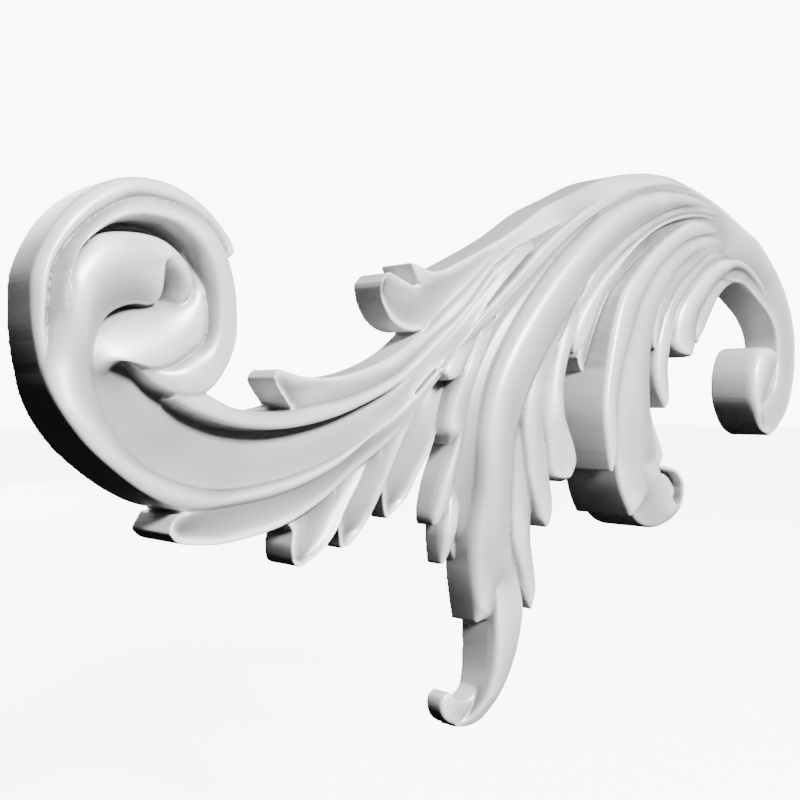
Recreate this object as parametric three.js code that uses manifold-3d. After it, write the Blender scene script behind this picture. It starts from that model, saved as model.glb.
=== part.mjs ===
// Carved acanthus scroll onlay: a flat-backed wood carving that is fixed to a wall, door or chest.
// Millimetres, +Z up. The back lies on the plane y = 0 and the carving faces -Y.
// The origin is on the back, at the throat where the leaves part from the stem.
import * as THREE from 'three';
import { mergeVertices } from 'three/addons/utils/BufferGeometryUtils.js';
import Module from 'manifold-3d';

// Sizes of the whole carving
const onlayLength = 301; // outside of the left scroll to outside of the right arm
const onlayHeight = 165; // bottom hook to crown of the arm
const reliefHeight = 21.5; // flat back to the highest leaf

// Sizes of the carver's details
const rimWidth = 1.2; // rounded edge along every leaf, in plan
const rimDrop = 1.0; // how far that edge falls below the leaf
const fullWidth = 8; // a leaf narrower than this bulges less
const facetLength = 7.8; // step along a leaf
const facetWidth = 5.2; // step across a leaf

// The drawing below is at these sizes, so the shares follow the sizes above
const share = {
  x: onlayLength / 301,
  z: onlayHeight / 165,
  h: reliefHeight / 21.5,
};

// A rail is a smooth line through hand-drawn points: across, up, and height over the back
const rail = (...n) => {
  const points = [];
  for (let i = 0; i < n.length; i += 3) {
    points.push(new THREE.Vector3(n[i] * share.x, n[i + 1] * share.z, n[i + 2] * share.h));
  }
  const curve = new THREE.CatmullRomCurve3(points, false, 'centripetal');
  curve.arcLengthDivisions = 20 * points.length;
  return curve;
};

// Height lost to the rounded rim at a distance from the leaf's edge
const rimLoss = (distance, width) => {
  const k = Math.min(1, distance / width);
  return rimDrop * (1 - Math.sqrt(k * (2 - k)));
};

// Steps are closer together towards the two ends, where the tips turn
const along = (s) => s - 0.75 * Math.sin(2 * Math.PI * s) / (2 * Math.PI);

// A bulge is one height, or three: at the start, the middle and the end
const bulge = (t, crown) => {
  const [start, middle, end] = Array.isArray(crown) ? crown : [crown, crown, crown];
  return (1 - t) * (1 - 2 * t) * start + 4 * t * (1 - t) * middle + t * (2 * t - 1) * end;
};

// One leaf or strand: its surface is drawn between two rails, bulging by crown or hollow below zero,
// with the bulge's top at the share lean of the width, and its sides stand down to the flat back
const strand = (left, right, crown = 0, lean = 0.5) => {
  const rows = Math.max(5, Math.round(Math.max(left.getLength(), right.getLength()) / facetLength));
  let widest = 0;
  for (let i = 0; i <= rows; i++) {
    const t = along(i / rows);
    widest = Math.max(widest, left.getPointAt(t).distanceTo(right.getPointAt(t)));
  }
  const inner = Math.max(2, Math.round(widest / facetWidth));
  const position = [];
  const index = [];
  const columns = inner + 3;
  for (let i = 0; i <= rows; i++) {
    const t = along(i / rows);
    const a = left.getPointAt(t);
    const b = right.getPointAt(t);
    const width = Math.max(0.001, Math.hypot(a.x - b.x, a.y - b.y));
    const rim = Math.min(rimWidth, width / 3);
    const rise = bulge(t, crown) * Math.min(1, width / fullWidth);
    for (let j = 0; j < columns; j++) {
      let u = rim / width + (1 - 2 * rim / width) * (j - 1) / inner;
      if (j === 0) u = 0;
      if (j === columns - 1) u = 1;
      const p = a.clone().lerp(b, u);
      const v = u ** (Math.log(0.5) / Math.log(lean));
      const loss = rimLoss(Math.min(u, 1 - u) * width, rim);
      position.push(p.x, -(p.z + 4 * v * (1 - v) * rise - loss), p.y);
    }
  }
  const floor = position.length / 3;
  for (let i = 0; i <= rows; i++) {
    for (const j of [0, columns - 1]) {
      const k = 3 * (i * columns + j);
      position.push(position[k], 0, position[k + 2]);
    }
  }
  const quad = (a, b, c, d) => index.push(a, b, c, a, c, d);
  for (let i = 0; i < rows; i++) {
    const top = i * columns;
    const base = floor + 2 * i;
    for (let j = 0; j < columns - 1; j++) {
      quad(top + j, top + j + 1, top + columns + j + 1, top + columns + j);
    }
    quad(base, top, top + columns, base + 2);
    quad(top + columns - 1, base + 1, base + 3, top + 2 * columns - 1);
    quad(base + 1, base, base + 2, base + 3);
  }
  const last = rows * columns;
  for (let j = 0; j < columns - 1; j++) {
    index.push(floor, j + 1, j);
    index.push(floor + 2 * rows, last + j, last + j + 1);
  }
  index.push(floor, floor + 1, columns - 1);
  index.push(floor + 2 * rows, last + columns - 1, floor + 2 * rows + 1);
  return solid(position, index);
};

// Turns a point list into a closed solid with its faces outward
const wasm = await Module();
wasm.setup();
const solid = (position, index) => {
  const raw = new THREE.BufferGeometry();
  raw.setAttribute('position', new THREE.Float32BufferAttribute(position, 3));
  raw.setIndex(index);
  const merged = mergeVertices(raw, 0.01);
  const at = merged.attributes.position.array;
  const kept = [];
  for (let i = 0; i < merged.index.count; i += 3) {
    const [a, b, c] = merged.index.array.slice(i, i + 3);
    if (a !== b && b !== c && c !== a) kept.push(a, b, c);
  }
  let volume = 0;
  for (let i = 0; i < kept.length; i += 3) {
    const [p, q, r] = [0, 1, 2].map((k) => new THREE.Vector3().fromArray(at, 3 * kept[i + k]));
    volume += p.dot(q.cross(r));
  }
  if (volume < 0) {
    for (let i = 0; i < kept.length; i += 3) [kept[i], kept[i + 1]] = [kept[i + 1], kept[i]];
  }
  return new wasm.Manifold(new wasm.Mesh({
    numProp: 3, vertProperties: new Float32Array(at), triVerts: new Uint32Array(kept),
  }));
};

// Left scroll
const scroll = [
  // ground under the coil
  strand(
    rail(-93, 43.6, 6, -102.4, 36, 6, -107, 26, 6, -107.2, 14, 6, -105.4, 5, 6, -97, -6, 6),
    rail(-86, 44.4, 6, -75, 41.4, 6, -68.2, 37, 6, -65.4, 28, 6, -65, 18, 6, -67.2, 8, 6, -77, 1.6, 6),
  ),
  // thin outer leaf that laps over the top of the scroll
  strand(
    rail(-105.6, -2, 13, -108.2, 4.6, 13, -109.6, 12, 12.6, -109.9, 19, 11.8, -109.3, 26.7, 11.7,
      -103, 38.2, 12.3, -92, 46, 12.7, -80, 46.8, 12.7, -70, 42.6, 12.6, -63, 35.5, 12.5,
      -62.3, 33.4, 12.4),
    rail(-104, -2, 13, -106.8, 5, 12.8, -107.4, 12, 12.4, -106.9, 22, 12.1, -105.8, 27.1, 12.1,
      -103.4, 31, 12.1, -100, 34.9, 12.2, -96.2, 38.1, 12.3, -92.1, 40.6, 12.5, -87.8, 42.3, 12.7,
      -81.9, 42.2, 12.7, -75.6, 40.8, 12.7, -70.3, 38.2, 12.6, -66.3, 34.4, 12.5, -64.2, 31.6, 12.3),
    [4.2, 3, 1.2], 0.6,
  ),
  // ring that runs round the eye and ends in a point under it
  strand(
    rail(-107.6, 0, 13.6, -107.7, 10, 13, -107.3, 22, 12.2, -106.1, 27.1, 12.2, -103.7, 31.2, 12.2,
      -100.3, 35.1, 12.3, -96.4, 38.4, 12.4, -92.2, 41, 12.6, -87.9, 42.8, 12.8, -81.9, 43, 13,
      -75.5, 41.6, 13.2, -70, 38.8, 13.4, -66, 34.2, 13.6, -64, 29, 13.9, -63, 24.2, 14.2,
      -62.8, 19, 14.3, -63, 13.8, 14.4, -65.3, 7.8, 14.5, -69.6, 2.4, 14.5, -72.6, 1, 14.4,
      -75.9, 0.7, 14.2, -79.7, 1.6, 13.6, -83.4, 3.5, 12.8, -86.9, 6.7, 12, -89.3, 8.7, 11.4),
    rail(-103, 0, 14.6, -103.6, 12, 14.6, -104.4, 23.7, 14.8, -103.8, 26.5, 14.5, -102.7, 29, 14,
      -100.1, 31.9, 13.6, -97.2, 34.2, 13.3, -93.7, 36.2, 13.1, -89.8, 37.3, 13, -85.8, 37.6, 13,
      -81.4, 37.1, 13, -77.6, 35.3, 13, -74.4, 32.7, 12.9, -72.4, 29, 12.6, -71.2, 25, 12.4,
      -70.7, 20.2, 12.2, -70.8, 15.8, 12, -71.9, 12.8, 12, -75.2, 10.3, 12, -78.5, 8.1, 12,
      -81.8, 7.3, 12, -84.9, 8, 11.8, -86.9, 8.9, 11.4, -89, 9.5, 11.2),
    [4, 4.8, 2.8],
  ),
  // outer roll: it comes up from the foot of the stem, swells into the eye and coils to a blunt hooked end
  strand(
    rail(-12, -4, 12.5, -25, -11.2, 13, -35, -16.9, 13.2, -50, -21.8, 13.5, -64, -23.7, 14,
      -78.3, -23.7, 15, -88, -19.7, 16.5, -98.8, -11.6, 17, -103.2, -6.6, 16.5, -106.6, -0.9, 15.6,
      -108.4, 5.2, 14, -108.2, 11, 13, -106.8, 17, 13.4, -105.2, 22, 14.6, -103.9, 26.1, 15,
      -102.7, 28.2, 14.8, -100, 31.5, 14.5, -97.7, 33.4, 14.3, -94.3, 34.5, 14.2, -90.4, 35, 14,
      -86, 35, 13.8, -81.9, 34.2, 13.5, -78.4, 32.2, 13.2, -75.8, 29.6, 13, -74.2, 26.9, 12.8,
      -73.8, 24.7, 12.5, -74.5, 22.5, 12.2, -75.9, 20.3, 11.8, -77.2, 19.6, 11.5),
    rail(-11.5, -2.8, 12.5, -25, -9.6, 13.3, -35.6, -14.4, 13.5, -47.7, -17.9, 13.5, -61, -19.9, 13.5,
      -67.1, -20.1, 13.4, -73.6, -19.1, 13.3, -79.9, -17.1, 13.3, -85, -14.7, 13.3, -89.9, -10.5, 13.2,
      -93.8, -5.2, 13, -96.2, 0, 12.8, -97.4, 4.3, 12.6, -97.2, 8.8, 12.5, -96.5, 11.9, 12.2,
      -95, 15.8, 11.8, -92.9, 18.1, 11.4, -89.9, 19.6, 11, -87, 20.3, 10.6, -83.2, 20.2, 10.2,
      -81.3, 20.8, 10.2, -80.9, 22.6, 11, -82.2, 24.5, 12, -84.5, 26.1, 13.2, -86.6, 28.2, 13.6,
      -83.2, 27.6, 13, -80.3, 26.3, 12.2, -78.6, 23.9, 11.5, -77.7, 21.3, 11, -77.2, 19.7, 10.8),
    [1, 2.8, 4.4],
  ),
  // ball inside the ring, which the cove runs up into
  strand(
    rail(-91.2, 7.6, 9.6, -90.2, 9.4, 10.6, -88.4, 10, 11, -86.6, 9.6, 11.2, -84.7, 8.7, 11.4,
      -81.8, 8, 11.6, -78.3, 8.8, 11.8, -75, 11, 11.8, -72.2, 13.6, 11.8, -71.2, 16.4, 11.7,
      -71.1, 20.4, 11.5, -71.6, 25, 10.8, -72.8, 29, 10, -75, 32, 9.5),
    rail(-98, 4, 11.2, -97.8, 10, 11, -96.8, 13.8, 10, -95, 17.6, 9, -92, 20.2, 8.4, -88, 21.6, 8,
      -83.5, 21.8, 8, -79.5, 21.8, 8, -76.6, 24, 8, -75.4, 27, 8, -76.2, 30, 8),
    [0.5, 4, 2], 0.3,
  ),
];

// Stem
const stem = [
  // cove between the outer roll and the slit
  strand(
    rail(-97.6, 9.5, 11.6, -97.6, 4.3, 12.2, -96.4, 0, 12.5, -94, -5.2, 12.7, -90.1, -10.5, 12.9,
      -85.2, -14.7, 13.1, -80, -17.1, 13.2, -73.6, -19.1, 13.3, -67.1, -20.1, 13.3, -61, -19.9, 13.3,
      -47.7, -17.9, 13.3, -35.6, -14.4, 13.3, -23.4, -9.1, 13.3, -12.5, -3.7, 13.3, -2.7, 5.4, 13.3,
      9, 14.4, 13.8, 18.3, 24.3, 14.3, 28.2, 34.2, 14.8, 39.5, 43.7, 14.5),
    rail(-91.5, 11, 11, -89.8, 9.6, 9.8, -87.4, 8, 8.4, -84, 5.4, 8, -80, 3.2, 8, -75, 0, 8, -70, -3, 8,
      -63.9, -4.8, 8, -50.4, -5.8, 8, -36, -3.8, 8.5, -23.4, 0.2, 9, -11.3, 5.7, 10, 0.9, 14.5, 11,
      10, 22.4, 12, 22.3, 34.2, 13.3, 28.4, 39.5, 14, 37, 46, 14.3),
    [-1, -2, -0.6], 0.6,
  ),
  // strip above the slit
  strand(
    rail(-75, 4, 12.5, -70.6, 1.8, 13, -66, -0.5, 13.2, -62.5, -1.8, 13.2, -50, -2.8, 13,
      -38.7, -1.2, 12.7, -29.5, 0.6, 12.5, -20.4, 3.4, 12.5, -12.5, 7, 12.7, -5.2, 12.2, 13.2,
      0.9, 17.1, 13.7, 10, 24.3, 14.2, 23, 37, 14.4),
    rail(-79, 0.2, 12.5, -74, -2.6, 13.4, -63.9, -5.8, 13.8, -50.4, -6.8, 13.6, -36, -4.8, 13.3,
      -23.4, -0.8, 13.3, -11.3, 4.7, 13.3, 0.9, 13.5, 13.8, 10, 21.4, 14.3, 23, 34.2, 14.4),
    1.6,
  ),
  // leaf over the strip
  strand(
    rail(-50.6, 5.3, 11.8, -49, 7.2, 11.3, -46, 6.8, 10.8, -40, 5.7, 9.8, -30, 5.8, 9.2, -19, 8.3, 9.2,
      -9.4, 12.5, 10, -2, 17.8, 11, 8, 26, 12.3, 22, 38, 13),
    rail(-50.4, 4.6, 12, -49.7, 3.3, 12, -47.2, 0.1, 12, -44.5, -2.5, 12, -38.7, -1.8, 12, -29.5, 0, 12,
      -20.4, 2.8, 12, -12.5, 6.4, 12.3, -5.2, 11.6, 12.8, 2, 17, 13.4, 12, 25.7, 14, 23, 36.5, 13.6),
    [-2.2, -1, 0],
  ),
  // ground between the stem and the upper leaf
  strand(
    rail(-86, 4, 4, -72, 0, 4, -60, -3, 4, -45, -1, 4, -30, 3, 4, -16, 8, 4, -6, 14, 4, 6, 24, 4,
      24, 36, 4, 44, 48, 4),
    rail(-94, -8, 4, -86, -17, 4, -73, -23, 4, -60, -27, 4, -45, -24, 4, -30, -18, 4, -16, -10, 4,
      -6, -3, 4, 6, 8, 4, 24, 24, 4, 50, 44, 4),
  ),
  // long leaf along the foot of the stem, which runs up over the crown of the arm
  strand(
    rail(-81.7, -28.4, 17.3, -79.5, -30.4, 16.9, -74, -31.5, 16.3, -66, -31.9, 15.3, -50, -29.5, 14,
      -38, -24.8, 13, -25.9, -17.5, 12.2, -11.3, -8.6, 12, 2.8, 5.4, 12.3, 16, 16.5, 12.8,
      30, 28.5, 13.8, 42.3, 39, 15, 49.4, 45, 15.6, 63.5, 54.6, 16.4, 77.6, 61.2, 16.8, 90, 64.8, 16.9,
      104, 66.8, 16.6, 124, 66, 15.4),
    rail(-79.3, -24.6, 16.6, -74, -24.3, 16, -66, -23.9, 15.3, -50, -21.6, 14.5, -35, -16.7, 14,
      -25, -11.3, 13.8, -10, -2.4, 14, 5, 10, 14.3, 18, 23, 14.8, 31.7, 35.4, 15.4, 43, 45.6, 16.2,
      53.3, 53.1, 17, 63, 58.4, 17.3, 74, 62.7, 17.4, 88.2, 66, 17.5, 104, 68, 17.2, 124, 68.2, 15.6),
    [-2.8, 0.3, 1.6],
  ),
];

// Small leaves under the stem
const footLeaves = [
  strand(
    rail(-50, -27, 11.5, -44.8, -31, 11.5, -45.3, -35, 12, -44.6, -38.8, 12, -43.3, -39.7, 12),
    rail(-22, -19, 11.5, -28, -27, 11.5, -32, -33, 11.8, -37, -37.4, 12, -42.3, -39.8, 12),
    -2.8,
  ),
  strand(
    rail(-36, -24, 10, -29, -29, 8.5, -26.4, -34, 6.8, -25.5, -37.4, 6),
    rail(-10, -14, 10.5, -13, -22, 9, -17, -31, 7, -22.3, -36.7, 6.2, -25.2, -37.5, 6),
    -2,
  ),
  strand(
    rail(-20, -15, 10, -14, -20, 8.5, -11.8, -26, 7, -10.4, -31, 6.3),
    rail(5, 0, 11, 4.8, -12.2, 9, 1, -18.5, 7.8, -3.5, -26.5, 6.8, -10, -31.1, 6.3),
    -2,
  ),
];

// Upper left leaf with its hook; it becomes the top band of the arm
const topLeaf = [
  strand(
    rail(-16.7, 29, 11.6, -15.4, 24.8, 11.2, -11.6, 20.1, 10.9, -4.9, 18, 10.9, 3, 20.5, 11.5,
      12, 28, 12.8, 22, 36.2, 13.8, 31.7, 42.8, 14.4, 42, 47.6, 15.2, 56.4, 54.4, 16.4,
      70.5, 60.8, 17.3, 88.2, 66.2, 17.8, 104, 69.2, 17.4, 122, 69.8, 15.6),
    rail(-16.5, 30.4, 11.8, -14, 32.7, 11.8, -8.8, 31.3, 11.5, -3.3, 30.1, 11.3, 3, 33.4, 11.6,
      10, 36.8, 12, 19, 41, 12, 31.7, 47.4, 12, 45.8, 56, 12.2, 59, 61.9, 12.6, 74, 68.4, 13.5,
      88, 71.7, 14.6, 102, 73, 15, 122, 70.2, 15.2),
    [-2.4, 0.1, 2.6],
  ),
  strand(
    rail(-6.9, 35.4, 12, -5, 32.4, 11.9, -2.6, 30.2, 11.3, 4, 31.6, 10.8, 14, 37, 10.8),
    rail(-6.3, 35.9, 12, -3, 35.2, 12, 1.5, 34.2, 12, 8, 35.8, 11.6, 15, 39, 11),
    -0.6,
  ),
];

// Central leaf: rib, hollow flank, lower stem with its hook, and the lobes on both sides
const centralLeaf = [
  strand(
    rail(128, 66.6, 15.8, 108, 67, 17.2, 88.2, 63.6, 17, 70.5, 57.2, 16.4, 56.4, 48.3, 15.7,
      42.3, 35.6, 14.7, 28.2, 18.5, 13.7, 21.2, 6, 12.7, 18.2, -6.8, 12, 18, -23, 11, 17.3, -38.5, 10,
      17.9, -49.9, 9.5, 20, -61.8, 9.3),
    rail(130, 62.6, 16, 108, 62.4, 17.6, 91.7, 56.5, 17, 77.6, 48.5, 16.4, 64.9, 38.5, 15.6,
      56, 28, 14.7, 45, 13, 13.2, 38, 0, 12, 34, -10, 11.4, 32.2, -23, 11, 32.6, -38, 10.4,
      34.6, -46, 10, 35.5, -52, 9.8, 32, -58, 9.8, 26, -61, 9.6, 21, -61.9, 9.3),
    [1.6, 4.5, 1.8], 0.36,
  ),
  strand(
    rail(84, 62.4, 15.5, 56.4, 48.6, 15.6, 42.3, 35.8, 14.9, 28.2, 18.8, 14, 21.2, 6.3, 13,
      18.2, -6.4, 12.3, 18, -23, 11, 17.8, -36, 9, 18.4, -43, 6.4),
    rail(82, 63.6, 15.5, 53, 48.2, 15, 38, 35, 13.6, 22, 20, 12.2, 15, 6, 10.4, 13.4, -6.8, 8.8,
      13, -23, 7.2, 13.8, -34, 5.4, 16.6, -41, 4),
    -1.6,
  ),
  strand(
    rail(24, -40, 8, 24.2, -52, 10.2, 24.2, -62, 11, 24.3, -71, 10.6, 24, -77, 10, 22.6, -83, 9,
      20, -87.4, 7.6, 15.4, -90.2, 6.2),
    rail(34, -38, 9, 36.4, -50, 10.6, 38.7, -60, 10.8, 38.1, -65.4, 10.6, 36.7, -72.1, 10,
      34.7, -77.5, 9.4, 32, -82.9, 8.6, 28.6, -87.2, 7.6, 24.6, -90.6, 6.8, 20.2, -91.5, 6.3,
      15.9, -90.9, 6),
    [1.2, 1.6, 0.6], 0.4,
  ),
  // hook at its foot
  strand(
    rail(26, -76, 7, 23.6, -80.4, 6.8, 20.7, -83.2, 6.2, 17, -83.5, 6, 14.5, -81.5, 6, 13.5, -80.8, 6),
    rail(29, -79, 7.4, 25.4, -86, 7, 20, -89.6, 6.4, 15.9, -90.4, 6, 11.6, -88, 6, 10.2, -84.6, 6,
      10.6, -81.8, 6, 12.6, -80.7, 6),
    0.6,
  ),
  // left lobes
  strand(
    rail(17, 20, 12, 4, 10.5, 13.6, 2.5, 7.5, 14, 4.3, 5.4, 14),
    rail(22, 17, 12, 11.3, 9, 13.6, 8, 5.8, 13.8, 5, 5.2, 14),
    1.6,
  ),
  strand(
    rail(21, 24, 11.5, 10, 9, 11.5, 8, 4, 10.5, 6, -2, 9.7, 5.4, -8.3, 9.7, 8.2, -11.7, 9.7),
    rail(26, 20, 11, 19, 9, 10.4, 16.4, 2.3, 9.4, 15, -3.8, 8.8, 13.5, -8.6, 8.8, 9.2, -12, 9.5),
    3.4, 0.38,
  ),
  strand(
    rail(14, -2, 9, 11.4, -13.6, 8, 7.7, -22.4, 7, 5.7, -31.6, 6.3, 6.2, -34, 6.3),
    rail(18, 2, 8.6, 16.5, -8, 7.6, 14.5, -18, 6.6, 12, -28, 6, 8.5, -33.7, 6, 6.7, -34.2, 6.2),
    2.8, 0.38,
  ),
  strand(
    rail(12.6, -22, 5, 9.5, -35.1, 6, 9.6, -39.4, 5.6, 10.3, -45, 5.5),
    rail(17, -20, 5, 16.5, -31.7, 6, 15, -40, 5, 12.5, -44.6, 4.8, 10.7, -45.3, 5.2),
    2.4, 0.38,
  ),
  // right lobes
  strand(
    rail(34, 6, 10.5, 31.7, -9.5, 10.5, 32, -20, 10.6, 32.8, -38.5, 10.8, 36.7, -50.6, 11,
      41.2, -60.5, 11.2),
    rail(42, 4, 12, 41, -25, 12, 40.5, -39.1, 11.6, 42.9, -50.6, 11.2, 43.4, -55.3, 11.2,
      41.8, -60.7, 11.2),
    2,
  ),
  strand(
    rail(64, 46, 14, 52, 30, 14.2, 44, 18, 14.4, 40.1, 9.7, 14.2, 36.7, 3.9, 13.8, 34.7, -4.1, 13.6,
      35.4, -13.6, 13.6, 36.9, -23, 13.6, 41.4, -33.7, 13.7, 44.8, -36.9, 13.8),
    rail(70, 43, 14.4, 58, 28, 14.6, 52, 20, 14.6, 45.1, 8, 14.2, 43.6, -6.2, 13.8, 46.5, -22.3, 13.8,
      47.9, -29.7, 13.8, 46.9, -35.5, 13.8, 45.4, -37, 13.8),
    1.8, 0.42,
  ),
  strand(
    rail(56, 32, 13.2, 50.5, 20, 13.2, 46.6, 8, 13, 44.8, 0, 13, 44.3, -10, 13.2, 46.2, -21.5, 13.8,
      51, -24, 14),
    rail(62, 30, 13.6, 57, 18, 13.8, 53.2, 8, 14, 52.3, 1.9, 14, 53, -4.8, 14, 57, -13.2, 14.2,
      58.3, -18.3, 14.2, 55.5, -22.4, 14.2, 52, -24.1, 14.1),
    2.8,
  ),
  // ground under the fan
  strand(
    rail(44, 46, 4, 24, 28, 4, 12, 12, 4, 9.6, -2, 4, 12.4, -16, 4, 13, -30, 4, 16.4, -42, 4, 22, -56, 4),
    rail(62, 44, 4, 58, 30, 4, 54, 14, 4, 50, 0, 4, 48, -12, 4, 43, -24, 4, 38, -38, 4, 34, -56, 4),
  ),
];

// Teeth and dark hollow left of the right leaf
const teeth = [
  strand(
    rail(140, 64.2, 16, 123, 65.3, 17.2, 114.1, 64.2, 17.4, 105.8, 62.5, 17.4, 96.2, 59.3, 17.3,
      87.2, 54.8, 17, 79.6, 50, 16.5, 71.5, 44.5, 16, 64.9, 38.7, 15.6, 60.8, 32.5, 15, 59.9, 28.7, 14.8),
    rail(140, 62, 16, 124, 62.2, 16.8, 110, 60.4, 17, 98, 56.4, 16.8, 88, 51.2, 16.4, 78, 44.5, 15.8,
      70, 37.5, 15.2, 64.5, 32, 14.9, 60.3, 28.5, 14.8),
    1.4,
  ),
  strand(
    rail(136, 63.6, 15.8, 118, 62.4, 16.6, 104, 58.5, 16.6, 92, 53, 16.2, 80, 45, 15.4, 70, 36.5, 14.6,
      64, 30, 14, 60.5, 25, 13.4, 58.7, 20.5, 13, 58.6, 16.7, 12.8, 59.6, 14, 12.6),
    rail(138, 62, 15.8, 127, 61.9, 16.6, 118.7, 60.9, 17, 110.1, 59.3, 17.2, 102, 56.8, 17.2,
      94.2, 53.2, 17, 87.5, 49, 16.8, 82, 44.5, 16.4, 76.6, 39.6, 16, 72, 35.2, 15.4, 69.1, 28, 14.2,
      66.2, 20.4, 13.2, 63.7, 16.2, 12.8, 60, 13.8, 12.6),
    1.8,
  ),
  strand(
    rail(130, 61, 15.6, 112, 58.4, 15.2, 100, 54.4, 14.6, 90, 48.8, 14, 80, 40.4, 13.2, 73, 33, 12.6,
      69, 26, 12, 66, 19, 11.4, 64.5, 13, 10.8),
    rail(130, 59, 15.6, 118, 56, 15.4, 104, 50.5, 15, 95, 45, 14.6, 86, 37.5, 14, 78, 28.5, 13.2,
      74, 19, 12.4, 71.5, 11, 11.5, 69.5, 6, 10.8),
    -1.4,
  ),
];

// Right leaf: left lobe, blade, side lobe, rolled tip and the cup in its end
const rightLeaf = [
  strand(
    rail(134, 60, 16.2, 118.6, 59.7, 17, 111.4, 57.3, 17.4, 102.2, 52.6, 17.6, 93.2, 46.7, 17.7,
      86.2, 41.1, 17.7, 78.1, 33.5, 17.9, 73.1, 24.5, 18.3, 68.6, 12, 19, 65.4, -2.5, 19.7,
      66.6, -13.5, 20, 68.2, -21.5, 20),
    rail(134, 56, 16, 114, 52, 17.2, 97, 41, 17.8, 87.4, 31, 18.3, 79, 17, 19, 74, 6, 19.4,
      71.6, -2, 19.8, 71.6, -14, 20, 69.2, -21.4, 20),
    1,
  ),
  strand(
    rail(136, 57, 15.6, 112, 52, 17, 99, 45, 17.6, 87.4, 34, 18.3, 79.7, 22, 18.8, 74, 11, 19.4,
      70.9, 0, 19.7, 70.3, -11.3, 20, 70.7, -18.9, 20.2, 72, -25.7, 20.4, 74.4, -31.5, 20.5,
      77, -35.5, 20.5),
    rail(136, 52, 15.8, 118, 47.8, 16.8, 106, 41, 17.4, 98, 32, 17.9, 93, 22, 18.3, 90, 14, 18.8,
      89.2, 6, 19.2, 89.2, -1, 19.5, 89.6, -8, 19.8, 91, -15.7, 20, 92, -21, 20.2, 88, -28, 20.4,
      82, -33, 20.5, 77.8, -35.4, 20.5),
    1.4,
  ),
  strand(
    rail(87, 7, 17.4, 87.6, -2, 18, 88.2, -10, 18.4, 91, -17, 18.7, 94.6, -20.6, 18.8),
    rail(90, 4, 17.6, 91.1, -3.2, 18.6, 92.8, -7.9, 18.8, 95.5, -12.7, 18.8, 97.6, -16.8, 18.8,
      97.3, -19.1, 18.8, 95.6, -20.6, 18.8),
    0.4,
  ),
  strand(
    rail(77, -27, 19.6, 80.4, -33.6, 19.6, 82.9, -36.6, 19.6, 86.9, -39, 19.5, 91, -40.3, 19.4,
      95.8, -40.6, 19.3, 100.8, -39.3, 19.2, 105, -36.8, 19.2, 108, -33.3, 19.2, 109, -30.5, 19.2),
    rail(86, -17, 19.8, 90, -17, 20, 93.2, -21.8, 20.1, 96.9, -27.8, 20.1, 100.4, -31.6, 20,
      104.3, -33.7, 19.8, 106.6, -33.4, 19.6, 108.3, -31.2, 19.4),
    1.2, 0.6,
  ),
  strand(
    rail(90, -17, 15, 93.4, -22.5, 14.6, 97.2, -28.4, 14.4, 100.8, -32.2, 14.4, 104.5, -34.2, 14.8,
      107.2, -33.6, 15.6),
    rail(93.5, -20.6, 16, 100.6, -21.8, 16.2, 104.3, -23, 16.4, 106.8, -25.1, 16.4, 108.3, -27.5, 16.4,
      108.4, -31, 16.4),
    2.4, 0.4,
  ),
  strand(
    rail(93, -20.2, 19, 100.6, -21.4, 19.3, 104.5, -22.5, 19.5, 107.1, -24.7, 19.6, 108.7, -26.8, 19.6,
      109.1, -31.5, 19.4),
    rail(93, -21.6, 18.6, 100.3, -22.8, 19, 103.8, -23.9, 19.2, 106.1, -25.8, 19.3, 107.4, -27.8, 19.3,
      107.8, -31.5, 19.2),
  ),
];

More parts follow.
